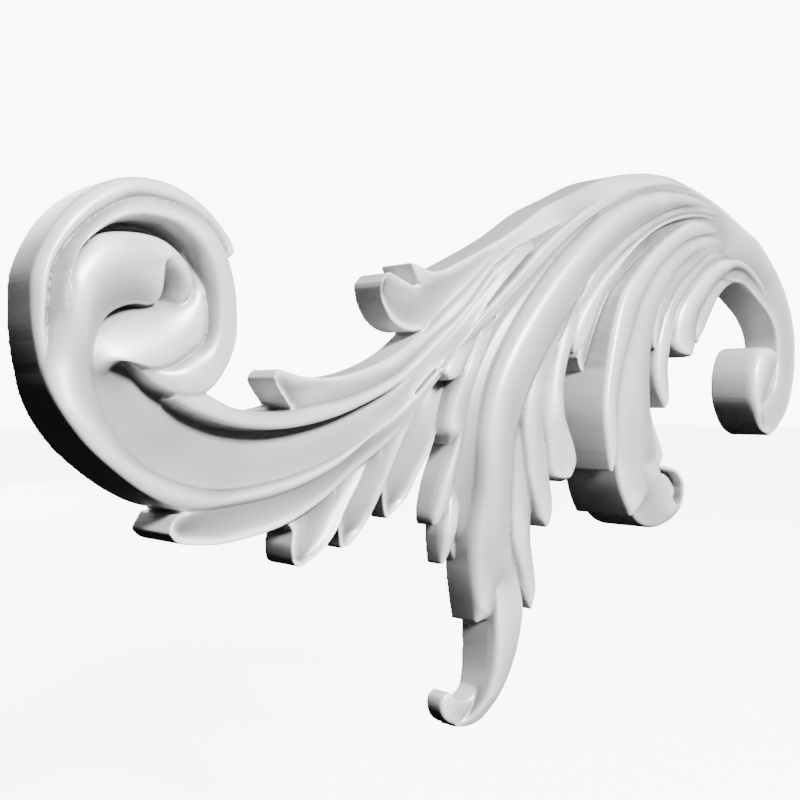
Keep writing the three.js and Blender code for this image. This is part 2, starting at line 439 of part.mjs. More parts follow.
// Arm with its curl, and the three lobes that hang from it
const arm = [
  // bed of the whole fan, which rises to be the arm and curls over
  strand(
    rail(6, 34.2, 8, 19, 40.2, 9.5, 31.7, 46.6, 10.5, 45.8, 55, 11, 59, 61, 11.6, 74, 67.5, 12.5,
      88, 71, 13.8, 102, 73.1, 15.4, 114, 72, 16, 127, 69.1, 16.6, 140, 65.3, 16.6, 151, 61.2, 16.4,
      162, 57.6, 16, 172, 51.5, 15.4, 180.3, 44.7, 15, 186.7, 35.8, 15, 190.5, 25.5, 15, 191, 14.6, 15,
      189, 4.4, 15, 184.7, -4, 15, 176.4, -11, 15, 171, -13, 15, 167.4, -12, 15),
    rail(14, 10, 9, 28, 20, 10.5, 42, 32, 12, 58, 42, 13.4, 76, 44, 14.4, 92, 42, 15.4, 101, 41.5, 15.8,
      112, 42.5, 16, 123, 45, 16, 134, 42.5, 15.6, 145.6, 41.4, 15, 154.6, 40.9, 14.6,
      165.9, 35.6, 14.2, 173.6, 30.8, 14, 179, 24.4, 13.8, 180.6, 17, 13.5, 179.6, 10.8, 13.3,
      178, 5.4, 13.3, 174, 1.7, 13.4, 168.8, -1.2, 13.8, 166, -4, 14.2, 165.4, -8, 14.6),
    [1, 2, 0.8], 0.42,
  ),
  // curl, whose side swells to a low dome inside the arm's last turn
  strand(
    rail(176.5, 17.4, 13.6, 168, 19.3, 14.4, 161.5, 17.7, 14.7, 157.2, 10.8, 15, 156.4, 4, 15,
      157.2, -1, 15, 160.8, -7.2, 15, 164.5, -10.6, 15, 168, -12.2, 15),
    rail(179, 15.4, 12, 179.6, 10.6, 12, 178.2, 5.6, 12, 174.6, 2, 12.2, 169.4, -0.6, 13, 167, -3, 14.2,
      166.6, -6.4, 14.9, 169, -10.6, 15),
    [2, 3.6, 0.3], 0.34,
  ),
  strand(
    rail(160, -6, 4, 159, 4, 4, 163, 14, 4, 170, 17, 4),
    rail(172, -9, 4, 182, -2, 4, 186, 8, 4, 184, 18, 4),
  ),
  // hanging lobes, from the leaf outward
  strand(
    rail(139.8, 54.4, 15.8, 127, 51.8, 16.7, 116.6, 48.4, 16.8, 110.8, 44.6, 16.8, 103.7, 39.4, 16.6,
      99.5, 34.5, 16.4, 97.6, 29.4, 16.2, 97, 23, 15.6, 98, 17, 15),
    rail(141, 51, 15.6, 130.1, 49.6, 16.2, 123.3, 46, 16, 116.7, 41.6, 15.8, 111, 37, 15.5,
      106.3, 31, 15.2, 103, 25.5, 15, 100.9, 20, 14.8, 99.4, 16.4, 14.6),
    0.6,
  ),
  strand(
    rail(141, 52.6, 15.6, 130.1, 50.7, 16, 123.3, 47.2, 15.8, 116.7, 42.8, 15.6, 111, 38.1, 15.3,
      106.3, 32.2, 15, 103.3, 26.9, 14.9, 100.9, 22.2, 15, 99.3, 16.1, 15, 98.6, 8.1, 15, 100.5, 2, 15,
      103.7, -2.6, 15),
    rail(143, 48.4, 15, 134.7, 47.2, 15.2, 127.5, 44, 15.2, 121.3, 39.7, 15.2, 115.6, 34.6, 15,
      111.3, 30, 14.9, 109.4, 26, 14.9, 108.2, 22, 14.9, 106.6, 15.9, 15, 105.6, 10.2, 15, 106.4, 2, 15,
      105.9, -1.2, 15, 104.4, -2.7, 15),
    1.4,
  ),
  strand(
    rail(160, 47, 13.2, 150, 49.6, 14.6, 142.1, 49.2, 15.4, 134.5, 48.1, 15.7, 127.2, 45, 15.8,
      121, 40.7, 15.8, 115.3, 35.6, 15.6, 111.3, 31.1, 15.4, 109.1, 26.8, 15.2, 108.2, 22.5, 15,
      108.2, 19.2, 15, 109.4, 16.5, 15, 111.9, 14.6, 15, 114.2, 14.1, 15),
    rail(160, 43.6, 13, 152, 45.2, 14, 145.4, 45.2, 14.3, 139.1, 42.2, 14.2, 133, 37.8, 14.1,
      127.8, 32.6, 14, 124, 27.1, 13.9, 122.7, 22.2, 14, 121.9, 18.8, 14.2, 120.5, 16.6, 14.5,
      118.1, 14.7, 14.8, 115, 14.1, 15),
    3.2,
  ),
  strand(
    rail(163, 42, 13.2, 154, 45, 14, 145.4, 45.6, 14.2, 139.1, 42.8, 14, 133, 38.4, 13.6,
      127.8, 33.4, 13.2, 124, 28, 12.7, 124.4, 23, 12.4, 127.4, 19.5, 12.2),
    rail(163, 37.6, 13.6, 158, 39.6, 14, 151.6, 41.4, 14, 145.2, 40, 13.8, 139.3, 35.7, 13.4,
      135.3, 30.2, 13, 131.4, 24.1, 12.6, 127.9, 19.2, 12.2),
    1,
  ),
  // ground under the right leaf and the lobes
  strand(
    rail(58, 58, 4, 57.6, 46, 4, 57.6, 36, 4, 60.4, 27, 4, 63.4, 20, 4, 68, 10, 4, 68, -4, 4,
      72, -18, 4, 78, -31, 4, 88, -37, 4, 101, -37, 4),
    rail(150, 56, 4, 138, 46, 4, 131, 38, 4, 125, 29, 4, 112, 23, 4, 98, 14, 4, 87, -2, 4, 91, -14.4, 4,
      98, -23.6, 4, 105, -31, 4),
  ),
];

const pieces = [
  ...scroll, ...stem, ...footLeaves, ...topLeaf, ...centralLeaf, ...teeth, ...rightLeaf, ...arm,
];
const carving = pieces.reduce((whole, piece) => whole.add(piece));

const mesh = carving.getMesh();
const geometry = new THREE.BufferGeometry();
geometry.setAttribute('position', new THREE.Float32BufferAttribute(mesh.vertProperties, 3));
geometry.setIndex([...mesh.triVerts]);
geometry.computeVertexNormals();

const onlay = new THREE.Mesh(geometry, new THREE.MeshStandardMaterial({
  color: 0xcfcfcd, roughness: 0.45, metalness: 0,
}));
onlay.name = 'carved_onlay';

const group = new THREE.Group();
group.add(onlay);
export default group;
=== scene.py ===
import bpy, math
import numpy as np
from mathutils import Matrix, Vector


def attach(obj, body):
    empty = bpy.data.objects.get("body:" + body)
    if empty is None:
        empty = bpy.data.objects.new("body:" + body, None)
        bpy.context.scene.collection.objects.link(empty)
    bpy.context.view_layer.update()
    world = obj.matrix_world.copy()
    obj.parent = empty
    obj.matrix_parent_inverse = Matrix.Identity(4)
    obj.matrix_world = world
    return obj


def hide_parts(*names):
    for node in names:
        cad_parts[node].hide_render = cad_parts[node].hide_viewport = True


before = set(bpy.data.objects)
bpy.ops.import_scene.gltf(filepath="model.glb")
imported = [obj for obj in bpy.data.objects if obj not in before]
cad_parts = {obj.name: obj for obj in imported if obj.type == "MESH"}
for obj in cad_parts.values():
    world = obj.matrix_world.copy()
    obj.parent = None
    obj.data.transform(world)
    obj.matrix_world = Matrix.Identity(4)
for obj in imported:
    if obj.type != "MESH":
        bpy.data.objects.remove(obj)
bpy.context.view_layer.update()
mm = 0.001


# The drawing. Every leaf is a strand between two rails, smooth lines through given points:
# (across, up, height over the back) in mm. crown is the bulge (or hollow) at its start, middle and end.

# Left scroll
scrollStrands = [
    # ground under the coil
    dict(left=[(-93, 43.6, 6), (-102.4, 36, 6), (-107, 26, 6), (-107.2, 14, 6), (-105.4, 5, 6),
               (-97, -6, 6)],
         right=[(-86, 44.4, 6), (-75, 41.4, 6), (-68.2, 37, 6), (-65.4, 28, 6), (-65, 18, 6), (-67.2, 8, 6),
                (-77, 1.6, 6)],
         crown=(0, 0, 0)),
    # thin outer leaf that laps over the top of the scroll
    dict(left=[(-105.6, -2, 13), (-108.2, 4.6, 13), (-109.6, 12, 12.6), (-109.9, 19, 11.8),
               (-109.3, 26.7, 11.7), (-103, 38.2, 12.3), (-92, 46, 12.7), (-80, 46.8, 12.7),
               (-70, 42.6, 12.6), (-63, 35.5, 12.5), (-62.3, 33.4, 12.4)],
         right=[(-104, -2, 13), (-106.8, 5, 12.8), (-107.4, 12, 12.4), (-106.9, 22, 12.1),
                (-105.8, 27.1, 12.1), (-103.4, 31, 12.1), (-100, 34.9, 12.2), (-96.2, 38.1, 12.3),
                (-92.1, 40.6, 12.5), (-87.8, 42.3, 12.7), (-81.9, 42.2, 12.7), (-75.6, 40.8, 12.7),
                (-70.3, 38.2, 12.6), (-66.3, 34.4, 12.5), (-64.2, 31.6, 12.3)],
         crown=(4.2, 3, 1.2), lean=0.6),
    # ring that runs round the eye and ends in a point under it
    dict(left=[(-105.6, -3, 10), (-107.2, 4, 10.4), (-107.7, 11, 11.2), (-107.3, 22, 12.2),
               (-106.1, 27.1, 12.2), (-103.7, 31.2, 12.2), (-100.3, 35.1, 12.3), (-96.4, 38.4, 12.4),
               (-92.2, 41, 12.6), (-87.9, 42.8, 12.8), (-81.9, 43, 13), (-75.5, 41.6, 13.2),
               (-70, 38.8, 13.4), (-66, 34.2, 13.6), (-64, 29, 13.9), (-63, 24.2, 14.2), (-62.8, 19, 14.3),
               (-63, 13.8, 14.4), (-65.3, 7.8, 14.5), (-69.6, 2.4, 14.5), (-72.6, 1, 14.4),
               (-75.9, 0.7, 14.2), (-79.7, 1.6, 13.6), (-83.4, 3.5, 12.8), (-86.9, 6.7, 12),
               (-89.3, 8.7, 11.4)],
         right=[(-102.4, -3, 10), (-103.2, 5, 10.8), (-103.6, 12, 12), (-104.4, 23.7, 14.8),
                (-103.8, 26.5, 14.5), (-102.7, 29, 14), (-100.1, 31.9, 13.6), (-97.2, 34.2, 13.3),
                (-93.7, 36.2, 13.1), (-89.8, 37.3, 13), (-85.8, 37.6, 13), (-81.4, 37.1, 13),
                (-77.6, 35.3, 13), (-74.4, 32.7, 12.9), (-72.4, 29, 12.6), (-71.2, 25, 12.4),
                (-70.7, 20.2, 12.2), (-70.8, 15.8, 12), (-71.9, 12.8, 12), (-75.2, 10.3, 12),
                (-78.5, 8.1, 12), (-81.8, 7.3, 12), (-84.9, 8, 11.8), (-86.9, 8.9, 11.4), (-89, 9.5, 11.2)],
         crown=(3.6, 3.6, 2.4), lean=0.68, profile=0.6),
    # outer roll: it comes up from the foot of the stem, swells into the eye and coils to a blunt hooked end
    dict(left=[(-12, -4, 12.5), (-25, -11.2, 13), (-35, -16.9, 13.2), (-50, -21.8, 13.5), (-64, -23.7, 14),
               (-78.3, -23.7, 15), (-88, -19.7, 16.5), (-98.8, -11.6, 17), (-103.2, -6.6, 16.5),
               (-106.6, -0.9, 15.6), (-108.4, 5.2, 14), (-108.2, 11, 13), (-106.8, 17, 13.4),
               (-105.2, 22, 14.6), (-103.9, 26.1, 15), (-102.7, 28.2, 14.8), (-100, 31.5, 14.5),
               (-97.7, 33.4, 14.3), (-94.3, 34.5, 14.2), (-90.4, 35, 14), (-86, 35, 13.8),
               (-81.9, 34.2, 13.5), (-78.4, 32.2, 13.2), (-75.8, 29.6, 13), (-74.2, 26.9, 12.8),
               (-73.8, 24.7, 12.5), (-74.5, 22.5, 12.2), (-75.9, 20.3, 11.8), (-77.2, 19.6, 11.5)],
         right=[(-11.5, -2.8, 12.5), (-25, -9.6, 13.3), (-35.6, -14.4, 13.5), (-47.7, -17.9, 13.5),
                (-61, -19.9, 13.5), (-67.1, -20.1, 13.4), (-73.6, -19.1, 13.3), (-79.9, -17.1, 13.3),
                (-85, -14.7, 13.3), (-89.9, -10.5, 13.2), (-93.8, -5.2, 13), (-96.2, 0, 12.8),
                (-97.4, 4.3, 12.6), (-97.2, 8.8, 12.5), (-96.5, 11.9, 12.2), (-95, 15.8, 12.2),
                (-92.9, 18.1, 12.3), (-89.9, 19.6, 12.2), (-87, 20.3, 12), (-83.4, 20.3, 11.8),
                (-81.8, 21, 11.8), (-81.5, 22.6, 12), (-82.6, 24.5, 12.4), (-84.2, 26, 12.6),
                (-85.6, 27.6, 12), (-83, 27, 10.4), (-80.8, 25.5, 9.4), (-79.4, 23.6, 9), (-78.9, 21.6, 9),
                (-78.1, 20.1, 9.6)],
         crown=(1, 2.8, 4.4)),
    # ball inside the ring, which the cove runs up into
    dict(left=[(-92, 4, 7.6), (-90.8, 7.4, 9.2), (-88.4, 8.6, 10.6), (-86.4, 7.4, 11), (-84.4, 6.3, 10.8),
               (-81.6, 5.4, 10.6), (-77.4, 6, 10.6), (-73.6, 8.4, 10.6), (-70.2, 12.2, 10.6),
               (-69.2, 16.2, 10.6), (-69.6, 20.6, 10.6), (-70.4, 25.4, 10.2), (-71.8, 29.6, 9.6),
               (-74.4, 33, 9)],
         right=[(-98, 1, 9), (-97.9, 7.6, 10.6), (-96.9, 13, 10.2), (-95, 17.6, 8.4), (-92, 20.2, 7),
                (-88, 21.6, 6.4), (-83.5, 21.8, 6.4), (-79.5, 21.8, 6.4), (-76.6, 24, 6.4),
                (-75.4, 27, 6.6), (-76.2, 30, 7.4)],
         crown=(0, 5, 2.2), lean=0.34, profile=1),
]

# Stem
stemStrands = [
    # cove between the outer roll and the slit
    dict(left=[(-97.2, 14, 10.2), (-97.6, 9.5, 11.4), (-97.6, 4.3, 12.2), (-96.4, 0, 12.5),
               (-94, -5.2, 12.7), (-90.1, -10.5, 12.9), (-85.2, -14.7, 13.1), (-80, -17.1, 13.2),
               (-73.6, -19.1, 13.3), (-67.1, -20.1, 13.3), (-61, -19.9, 13.3), (-47.7, -17.9, 13.3),
               (-35.6, -14.4, 13.3), (-23.4, -9.1, 13.3), (-12.5, -3.7, 13.3), (-2.7, 5.4, 13.3),
               (9, 14.4, 13.8), (18.3, 24.3, 14.3), (28.2, 34.2, 14.8), (39.5, 43.7, 14.5)],
         right=[(-89.4, 14, 10), (-90.2, 11, 11), (-88.9, 9, 10), (-87, 7.6, 8.6), (-84, 5.4, 8),
                (-80, 3.2, 8), (-75, 0, 8), (-70, -3, 8), (-63.9, -4.8, 8), (-50.4, -5.8, 8),
                (-36, -3.8, 8.5), (-23.4, 0.2, 9), (-11.3, 5.7, 10), (0.9, 14.5, 11), (10, 22.4, 12),
                (22.3, 34.2, 13.3), (28.4, 39.5, 14), (37, 46, 14.3)],
         crown=(-1, -2, -0.6), lean=0.6),
    # strip above the slit
    dict(left=[(-75, 4, 12.5), (-70.6, 1.8, 13), (-66, -0.5, 13.2), (-62.5, -1.8, 13.2), (-50, -2.8, 13),
               (-38.7, -1.2, 12.7), (-29.5, 0.6, 12.5), (-20.4, 3.4, 12.5), (-12.5, 7, 12.7),
               (-5.2, 12.2, 13.2), (0.9, 17.1, 13.7), (10, 24.3, 14.2), (23, 37, 14.4)],
         right=[(-79, 0.2, 12.5), (-74, -2.6, 13.4), (-63.9, -5.8, 13.8), (-50.4, -6.8, 13.6),
                (-36, -4.8, 13.3), (-23.4, -0.8, 13.3), (-11.3, 4.7, 13.3), (0.9, 13.5, 13.8),
                (10, 21.4, 14.3), (23, 34.2, 14.4)],
         crown=(1.6, 1.6, 1.6)),
    # leaf over the strip
    dict(left=[(-50.6, 5.3, 11.8), (-49, 7.2, 11.3), (-46, 6.8, 10.8), (-40, 5.7, 9.8), (-30, 5.8, 9.2),
               (-19, 8.3, 9.2), (-9.4, 12.5, 10), (-2, 17.8, 11), (8, 26, 12.3), (22, 38, 13)],
         right=[(-50.4, 4.6, 12), (-49.7, 3.3, 12), (-47.2, 0.1, 12), (-44.5, -2.5, 12), (-38.7, -1.8, 12),
                (-29.5, 0, 12), (-20.4, 2.8, 12), (-12.5, 6.4, 12.3), (-5.2, 11.6, 12.8), (2, 17, 13.4),
                (12, 25.7, 14), (23, 36.5, 13.6)],
         crown=(-2.2, -1, 0)),
    # ground between the stem and the upper leaf
    dict(left=[(-86, 4, 4), (-72, 0, 4), (-60, -3, 4), (-45, -1, 4), (-30, 3, 4), (-16, 8, 4), (-6, 14, 4),
               (6, 24, 4), (24, 36, 4), (44, 48, 4)],
         right=[(-94, -8, 4), (-86, -17, 4), (-73, -23, 4), (-60, -27, 4), (-45, -24, 4), (-30, -18, 4),
                (-16, -10, 4), (-6, -3, 4), (6, 8, 4), (24, 24, 4), (50, 44, 4)],
         crown=(0, 0, 0)),
    # long leaf along the foot of the stem, which runs up over the crown of the arm
    dict(left=[(-81.7, -28.4, 17.3), (-79.5, -30.4, 16.9), (-74, -31.5, 16.3), (-66, -31.9, 15.3),
               (-50, -29.5, 14), (-38, -24.8, 13), (-25.9, -17.5, 12.2), (-11.3, -8.6, 12),
               (2.8, 5.4, 12.3), (16, 16.5, 12.8), (30, 28.5, 13.8), (42.3, 39, 15), (49.4, 45, 15.6),
               (63.5, 54.6, 16.4), (77.6, 61.2, 16.8), (90, 64.8, 16.9), (104, 66.8, 16.6),
               (124, 66, 15.4)],
         right=[(-79.3, -24.6, 16.6), (-74, -24.3, 16), (-66, -23.9, 15.3), (-50, -21.6, 14.5),
                (-35, -16.7, 14), (-25, -10.9, 13.6), (-10, -1.6, 13.6), (5, 11, 14), (18, 23.6, 14.6),
                (31.7, 35.4, 15.4), (43, 45.6, 16.2), (53.3, 53.1, 17), (63, 58.8, 17.1), (74, 63.4, 17.1),
                (88.2, 67.2, 17.1), (104, 69.8, 16.8), (124, 69.6, 15.2)],
         crown=(-2.8, 0.3, 1.6)),
]

# Small leaves under the stem
footLeavesStrands = [
    dict(left=[(-50, -27, 11.5), (-44.8, -31, 11.5), (-45.3, -35, 12), (-44.6, -38.8, 12),
               (-43.3, -39.7, 12)],
         right=[(-19, -11, 11.5), (-23.4, -20, 11.5), (-28, -27, 11.5), (-32, -33, 11.8), (-37, -37.4, 12),
                (-42.3, -39.8, 12)],
         crown=(-2.8, -2.8, -2.8)),
    dict(left=[(-33, -19, 10.4), (-30.6, -25, 9.6), (-29, -29, 8.5), (-26.4, -34, 6.8), (-25.5, -37.4, 6)],
         right=[(-4, -3, 11), (-9.6, -14, 10), (-13, -22, 9), (-17, -31, 7), (-22.3, -36.7, 6.2),
                (-25.2, -37.5, 6)],
         crown=(-2, -2, -2)),
    dict(left=[(-17, -9, 9.4), (-14.6, -16, 9.2), (-13.4, -21, 8.4), (-11.8, -26, 7), (-10.4, -31, 6.3)],
         right=[(9, 8, 9.2), (6.4, -3, 9.2), (4.8, -12.2, 8.6), (1, -18.5, 7.8), (-3.5, -26.5, 6.8),
                (-10, -31.1, 6.3)],
         crown=(-2, -2, -2)),
]

# Upper left leaf with its hook; it becomes the top band of the arm
topLeafStrands = [
    dict(left=[(-16.7, 29, 11.6), (-15.4, 24.8, 11.2), (-11.6, 20.1, 10.9), (-4.9, 18, 10.9),
               (3, 20.5, 11.5), (12, 28, 12.8), (22, 36.2, 13.8), (31.7, 42.8, 14.4), (42, 47.6, 15.2),
               (56.4, 54.4, 16.4), (70.5, 60.8, 17.3), (88.2, 66.2, 17.8), (104, 69.2, 17.4),
               (122, 69.8, 15.6)],
         right=[(-16.5, 30.4, 11.8), (-14, 32.7, 11.8), (-8.8, 31.3, 11.5), (-3.3, 30.1, 11.3),
                (3, 33.4, 11.6), (10, 36.8, 12), (19, 41, 12), (31.7, 47.4, 12), (45.8, 56, 12.2),
                (59, 61.9, 12.6), (74, 68.4, 13.5), (88, 71.7, 14.6), (102, 73, 15), (122, 70.2, 15.2)],
         crown=(-2.4, 0.1, 2.6)),
    dict(left=[(-6.9, 35.4, 12), (-5, 32.4, 11.9), (-2.6, 30.2, 11.3), (4, 31.6, 10.8), (14, 37, 10.8)],
         right=[(-6.3, 35.9, 12), (-3, 35.2, 12), (1.5, 34.2, 12), (8, 35.8, 11.6), (15, 39, 11)],
         crown=(-0.6, -0.6, -0.6)),
    # seam between the upper leaf and the long leaf
    dict(left=[(4, 13, 10), (16, 24, 11.4), (28, 34.6, 12.6), (40, 43.4, 13.8), (52, 51, 15), (64, 57, 16),
               (78, 62.6, 16.6), (92, 66, 16.8), (106, 67.6, 16.6)],
         right=[(2, 17, 10), (13, 27, 11.4), (25, 37.6, 12.6), (37, 46.6, 13.8), (50, 54, 15), (63, 60, 16),
                (77, 65.4, 16.6), (91, 68.4, 16.8), (106, 69.6, 16.6)],
         crown=(0, 0, 0)),
]

# Central leaf: rib, hollow flank, lower stem with its hook, and the lobes on both sides
centralLeafStrands = [
    dict(left=[(147, 62.3, 14.2), (128, 66.8, 15.9), (108, 67.6, 16.8), (88.2, 65, 16.4), (70.5, 58, 16.2),
               (56.4, 48.3, 15.7), (42.3, 35.6, 14.7), (28.2, 18.5, 13.7), (21.2, 6, 12.7),
               (18.2, -6.8, 12), (18, -23, 11), (17.3, -38.5, 10), (17.9, -49.9, 9.5), (20, -61.8, 9.3)],
         right=[(147, 60.6, 14.2), (130, 63.4, 16), (108, 62.4, 17.6), (91.7, 56.5, 17), (77.6, 48.5, 16.4),
                (64.9, 38.5, 15.6), (56, 28, 14.7), (45, 13, 13.2), (38, 0, 12), (34, -10, 11.4),
                (32.2, -23, 11), (32.6, -38, 10.4), (34.6, -46, 10), (35.5, -52, 9.8), (32, -58, 9.8),
                (26, -61, 9.6), (21, -61.9, 9.3)],
         crown=(1.4, 5.4, 2.2), lean=0.33, profile=0.7),
    dict(left=[(84, 62.4, 15.5), (56.4, 48.6, 15.6), (42.3, 35.8, 14.9), (28.2, 18.8, 14), (21.2, 6.3, 13),
               (18.2, -6.4, 12.3), (18, -23, 11), (17.8, -36, 9), (18.4, -43, 6.4)],
         right=[(82, 63.6, 15.5), (53, 48.2, 15.4), (38, 35, 14.6), (22, 20, 13.8), (15, 6, 12.6),
                (13.4, -6.8, 10.8), (13.4, -20, 8.6), (14.2, -32, 6), (16.8, -39, 4)],
         crown=(-0.6, -3.2, -1.6), profile=0.8),
    dict(left=[(24, -40, 8), (24.2, -52, 10.2), (24.2, -62, 11), (24.3, -71, 10.6), (24, -77, 10),
               (22.6, -83, 9), (20, -87.4, 7.6), (15.4, -90.2, 6.2)],
         right=[(34, -38, 9), (36.4, -50, 10.6), (38.7, -60, 10.8), (38.1, -65.4, 10.6), (36.7, -72.1, 10),
                (34.7, -77.5, 9.4), (32, -82.9, 8.6), (28.6, -87.2, 7.6), (24.6, -90.6, 6.8),
                (20.2, -91.5, 6.3), (15.9, -90.9, 6)],
         crown=(1.4, 3, 1.2), lean=0.2, profile=0.8),
    # hook at its foot
    dict(left=[(26, -76, 7), (23.6, -80.4, 6.8), (20.7, -83.2, 6.2), (17, -83.5, 6), (14.5, -81.5, 6),
               (13.5, -80.8, 6)],
         right=[(29, -79, 7.4), (25.4, -86, 7), (20, -89.6, 6.4), (15.9, -90.4, 6), (11.6, -88, 6),
                (10.2, -84.6, 6), (10.6, -81.8, 6), (12.6, -80.7, 6)],
         crown=(0.6, 0.6, 0.6)),
    # left lobes
    dict(left=[(17, 20, 12), (4, 10.5, 13.6), (2.5, 7.5, 14), (4.3, 5.4, 14)],
         right=[(22, 17, 12), (11.3, 9, 13.6), (8, 5.8, 13.8), (5, 5.2, 14)],
         crown=(1.6, 1.6, 1.6)),
    dict(left=[(21, 24, 11.5), (10, 9, 11.5), (8, 4, 10.5), (6, -2, 9.7), (5.4, -8.3, 9.7),
               (8.2, -11.7, 9.7)],
         right=[(26, 20, 11), (19, 9, 10.4), (16.4, 2.3, 9.4), (15, -3.8, 8.8), (13.5, -8.6, 8.8),
                (9.2, -12, 9.5)],
         crown=(2, 4.4, 3.8), lean=0.34),
    dict(left=[(14, -2, 9), (11.4, -13.6, 8), (7.7, -22.4, 7), (5.7, -31.6, 6.3), (6.2, -34, 6.3)],
         right=[(18, 2, 8.6), (16.5, -8, 7.6), (14.5, -18, 6.6), (12, -28, 6), (8.5, -33.7, 6),
                (6.7, -34.2, 6.2)],
         crown=(2, 3.6, 3), lean=0.34),
    dict(left=[(12.6, -22, 5), (9.5, -35.1, 6), (9.6, -39.4, 5.6), (10.3, -45, 5.5)],
         right=[(17, -20, 5), (16.5, -31.7, 6), (15, -40, 5), (12.5, -44.6, 4.8), (10.7, -45.3, 5.2)],
         crown=(2, 3, 2.4), lean=0.34),
    # right lobes
    dict(left=[(34, 6, 10.5), (31.7, -9.5, 10.5), (32, -20, 10.6), (32.8, -38.5, 10.8), (36.7, -50.6, 11),
               (41.2, -60.5, 11.2)],
         right=[(42, 4, 12), (41, -25, 12), (40.5, -39.1, 11.6), (42.9, -50.6, 11.2), (43.4, -55.3, 11.2),
                (41.8, -60.7, 11.2)],
         crown=(2, 2, 2)),
    dict(left=[(64, 46, 14), (52, 30, 14.2), (44, 18, 14.4), (40.1, 9.7, 14.2), (36.7, 3.9, 13.8),
               (34.7, -4.1, 13.6), (35.4, -13.6, 13.6), (36.9, -23, 13.6), (41.4, -33.7, 13.7),
               (44.8, -36.9, 13.8)],
         right=[(70, 43, 14.4), (58, 28, 14.6), (52, 20, 14.6), (45.1, 8, 14.2), (43.6, -6.2, 13.8),
                (46.5, -22.3, 13.8), (47.9, -29.7, 13.8), (46.9, -35.5, 13.8), (45.4, -37, 13.8)],
         crown=(1.8, 1.8, 1.8), lean=0.42),
    dict(left=[(56, 32, 13.2), (50.5, 20, 13.2), (46.6, 8, 13), (44.8, 0, 13), (44.3, -10, 13.2),
               (46.2, -21.5, 13.8), (51, -24, 14)],
         right=[(62, 30, 13.6), (57, 18, 13.8), (53.2, 8, 14), (52.3, 1.9, 14), (53, -4.8, 14),
                (57, -13.2, 14.2), (58.3, -18.3, 14.2), (55.5, -22.4, 14.2), (52, -24.1, 14.1)],
         crown=(2.8, 2.8, 2.8)),
    # ground under the fan
    dict(left=[(44, 46, 4), (24, 28, 4), (12, 12, 4), (9.6, -2, 4), (12.4, -16, 4), (13, -30, 4),
               (16.4, -42, 4), (22, -56, 4)],
         right=[(62, 44, 4), (58, 30, 4), (54, 14, 4), (50, 0, 4), (48, -12, 4), (43, -24, 4), (38, -38, 4),
                (34, -56, 4)],
         crown=(0, 0, 0)),
]

# Teeth and dark hollow left of the right leaf
teethStrands = [
    dict(left=[(150, 60, 14.4), (138, 64, 15.9), (123, 65.3, 17.2), (114.1, 64.2, 17.4),
               (105.8, 62.5, 17.4), (96.2, 59.3, 17.3), (87.2, 54.8, 17), (79.6, 50, 16.5),
               (71.5, 44.5, 16), (64.9, 38.7, 15.6), (60.8, 32.5, 15), (59.9, 28.7, 14.8)],
         right=[(150, 58.4, 14.4), (138, 61.8, 15.8), (124, 62.2, 16.8), (110, 60.4, 17), (98, 56.4, 16.8),
                (88, 51.2, 16.4), (78, 44.5, 15.8), (70, 37.5, 15.2), (64.5, 32, 14.9), (60.3, 28.5, 14.8)],
         crown=(1.4, 1.4, 1.4)),
    dict(left=[(150, 58.2, 14.2), (134, 62.6, 15.7), (118, 62.4, 16.6), (104, 58.5, 16.6), (92, 53, 16.2),
               (80, 45, 15.4), (70, 36.5, 14.6), (64, 30, 14), (60.5, 25, 13.4), (58.7, 20.5, 13),
               (58.6, 16.7, 12.8), (59.6, 14, 12.6)],
         right=[(150, 56.6, 14.2), (138, 60.2, 15.5), (127, 61.2, 16.5), (118.7, 60.9, 17),
                (110.1, 59.3, 17.2), (102, 56.8, 17.2), (94.2, 53.2, 17), (87.5, 49, 16.8),
                (82, 44.5, 16.4), (76.6, 39.6, 16), (72, 35.2, 15.4), (69.1, 28, 14.2), (66.2, 20.4, 13.2),
                (63.7, 16.2, 12.8), (60, 13.8, 12.6)],
         crown=(1.8, 1.8, 1.8)),
    dict(left=[(130, 61, 15.6), (112, 58.4, 15.2), (100, 54.4, 14.6), (90, 48.8, 14), (80, 40.4, 13.2),
               (73, 33, 12.6), (69, 26, 12), (66, 19, 11.4), (64.5, 13, 10.8)],
         right=[(130, 59, 15.6), (118, 56, 15.4), (104, 50.5, 15), (95, 45, 14.6), (86, 37.5, 14),
                (78, 28.5, 13.2), (74, 19, 12.4), (71.5, 11, 11.5), (69.5, 6, 10.8)],
         crown=(-1.4, -1.4, -1.4)),
    # ground between them
    dict(left=[(58, 40, 11.6), (68, 50, 13.2), (80, 57, 14.6), (94, 62.4, 15.4), (110, 65.5, 15.6),
               (130, 65, 14.6)],
         right=[(66, 28, 10.6), (75, 33, 11.2), (86, 40.5, 12.6), (98, 47.5, 13.8), (112, 53.5, 14.6),
                (132, 56, 14.2)],
         crown=(0, 0, 0)),
]

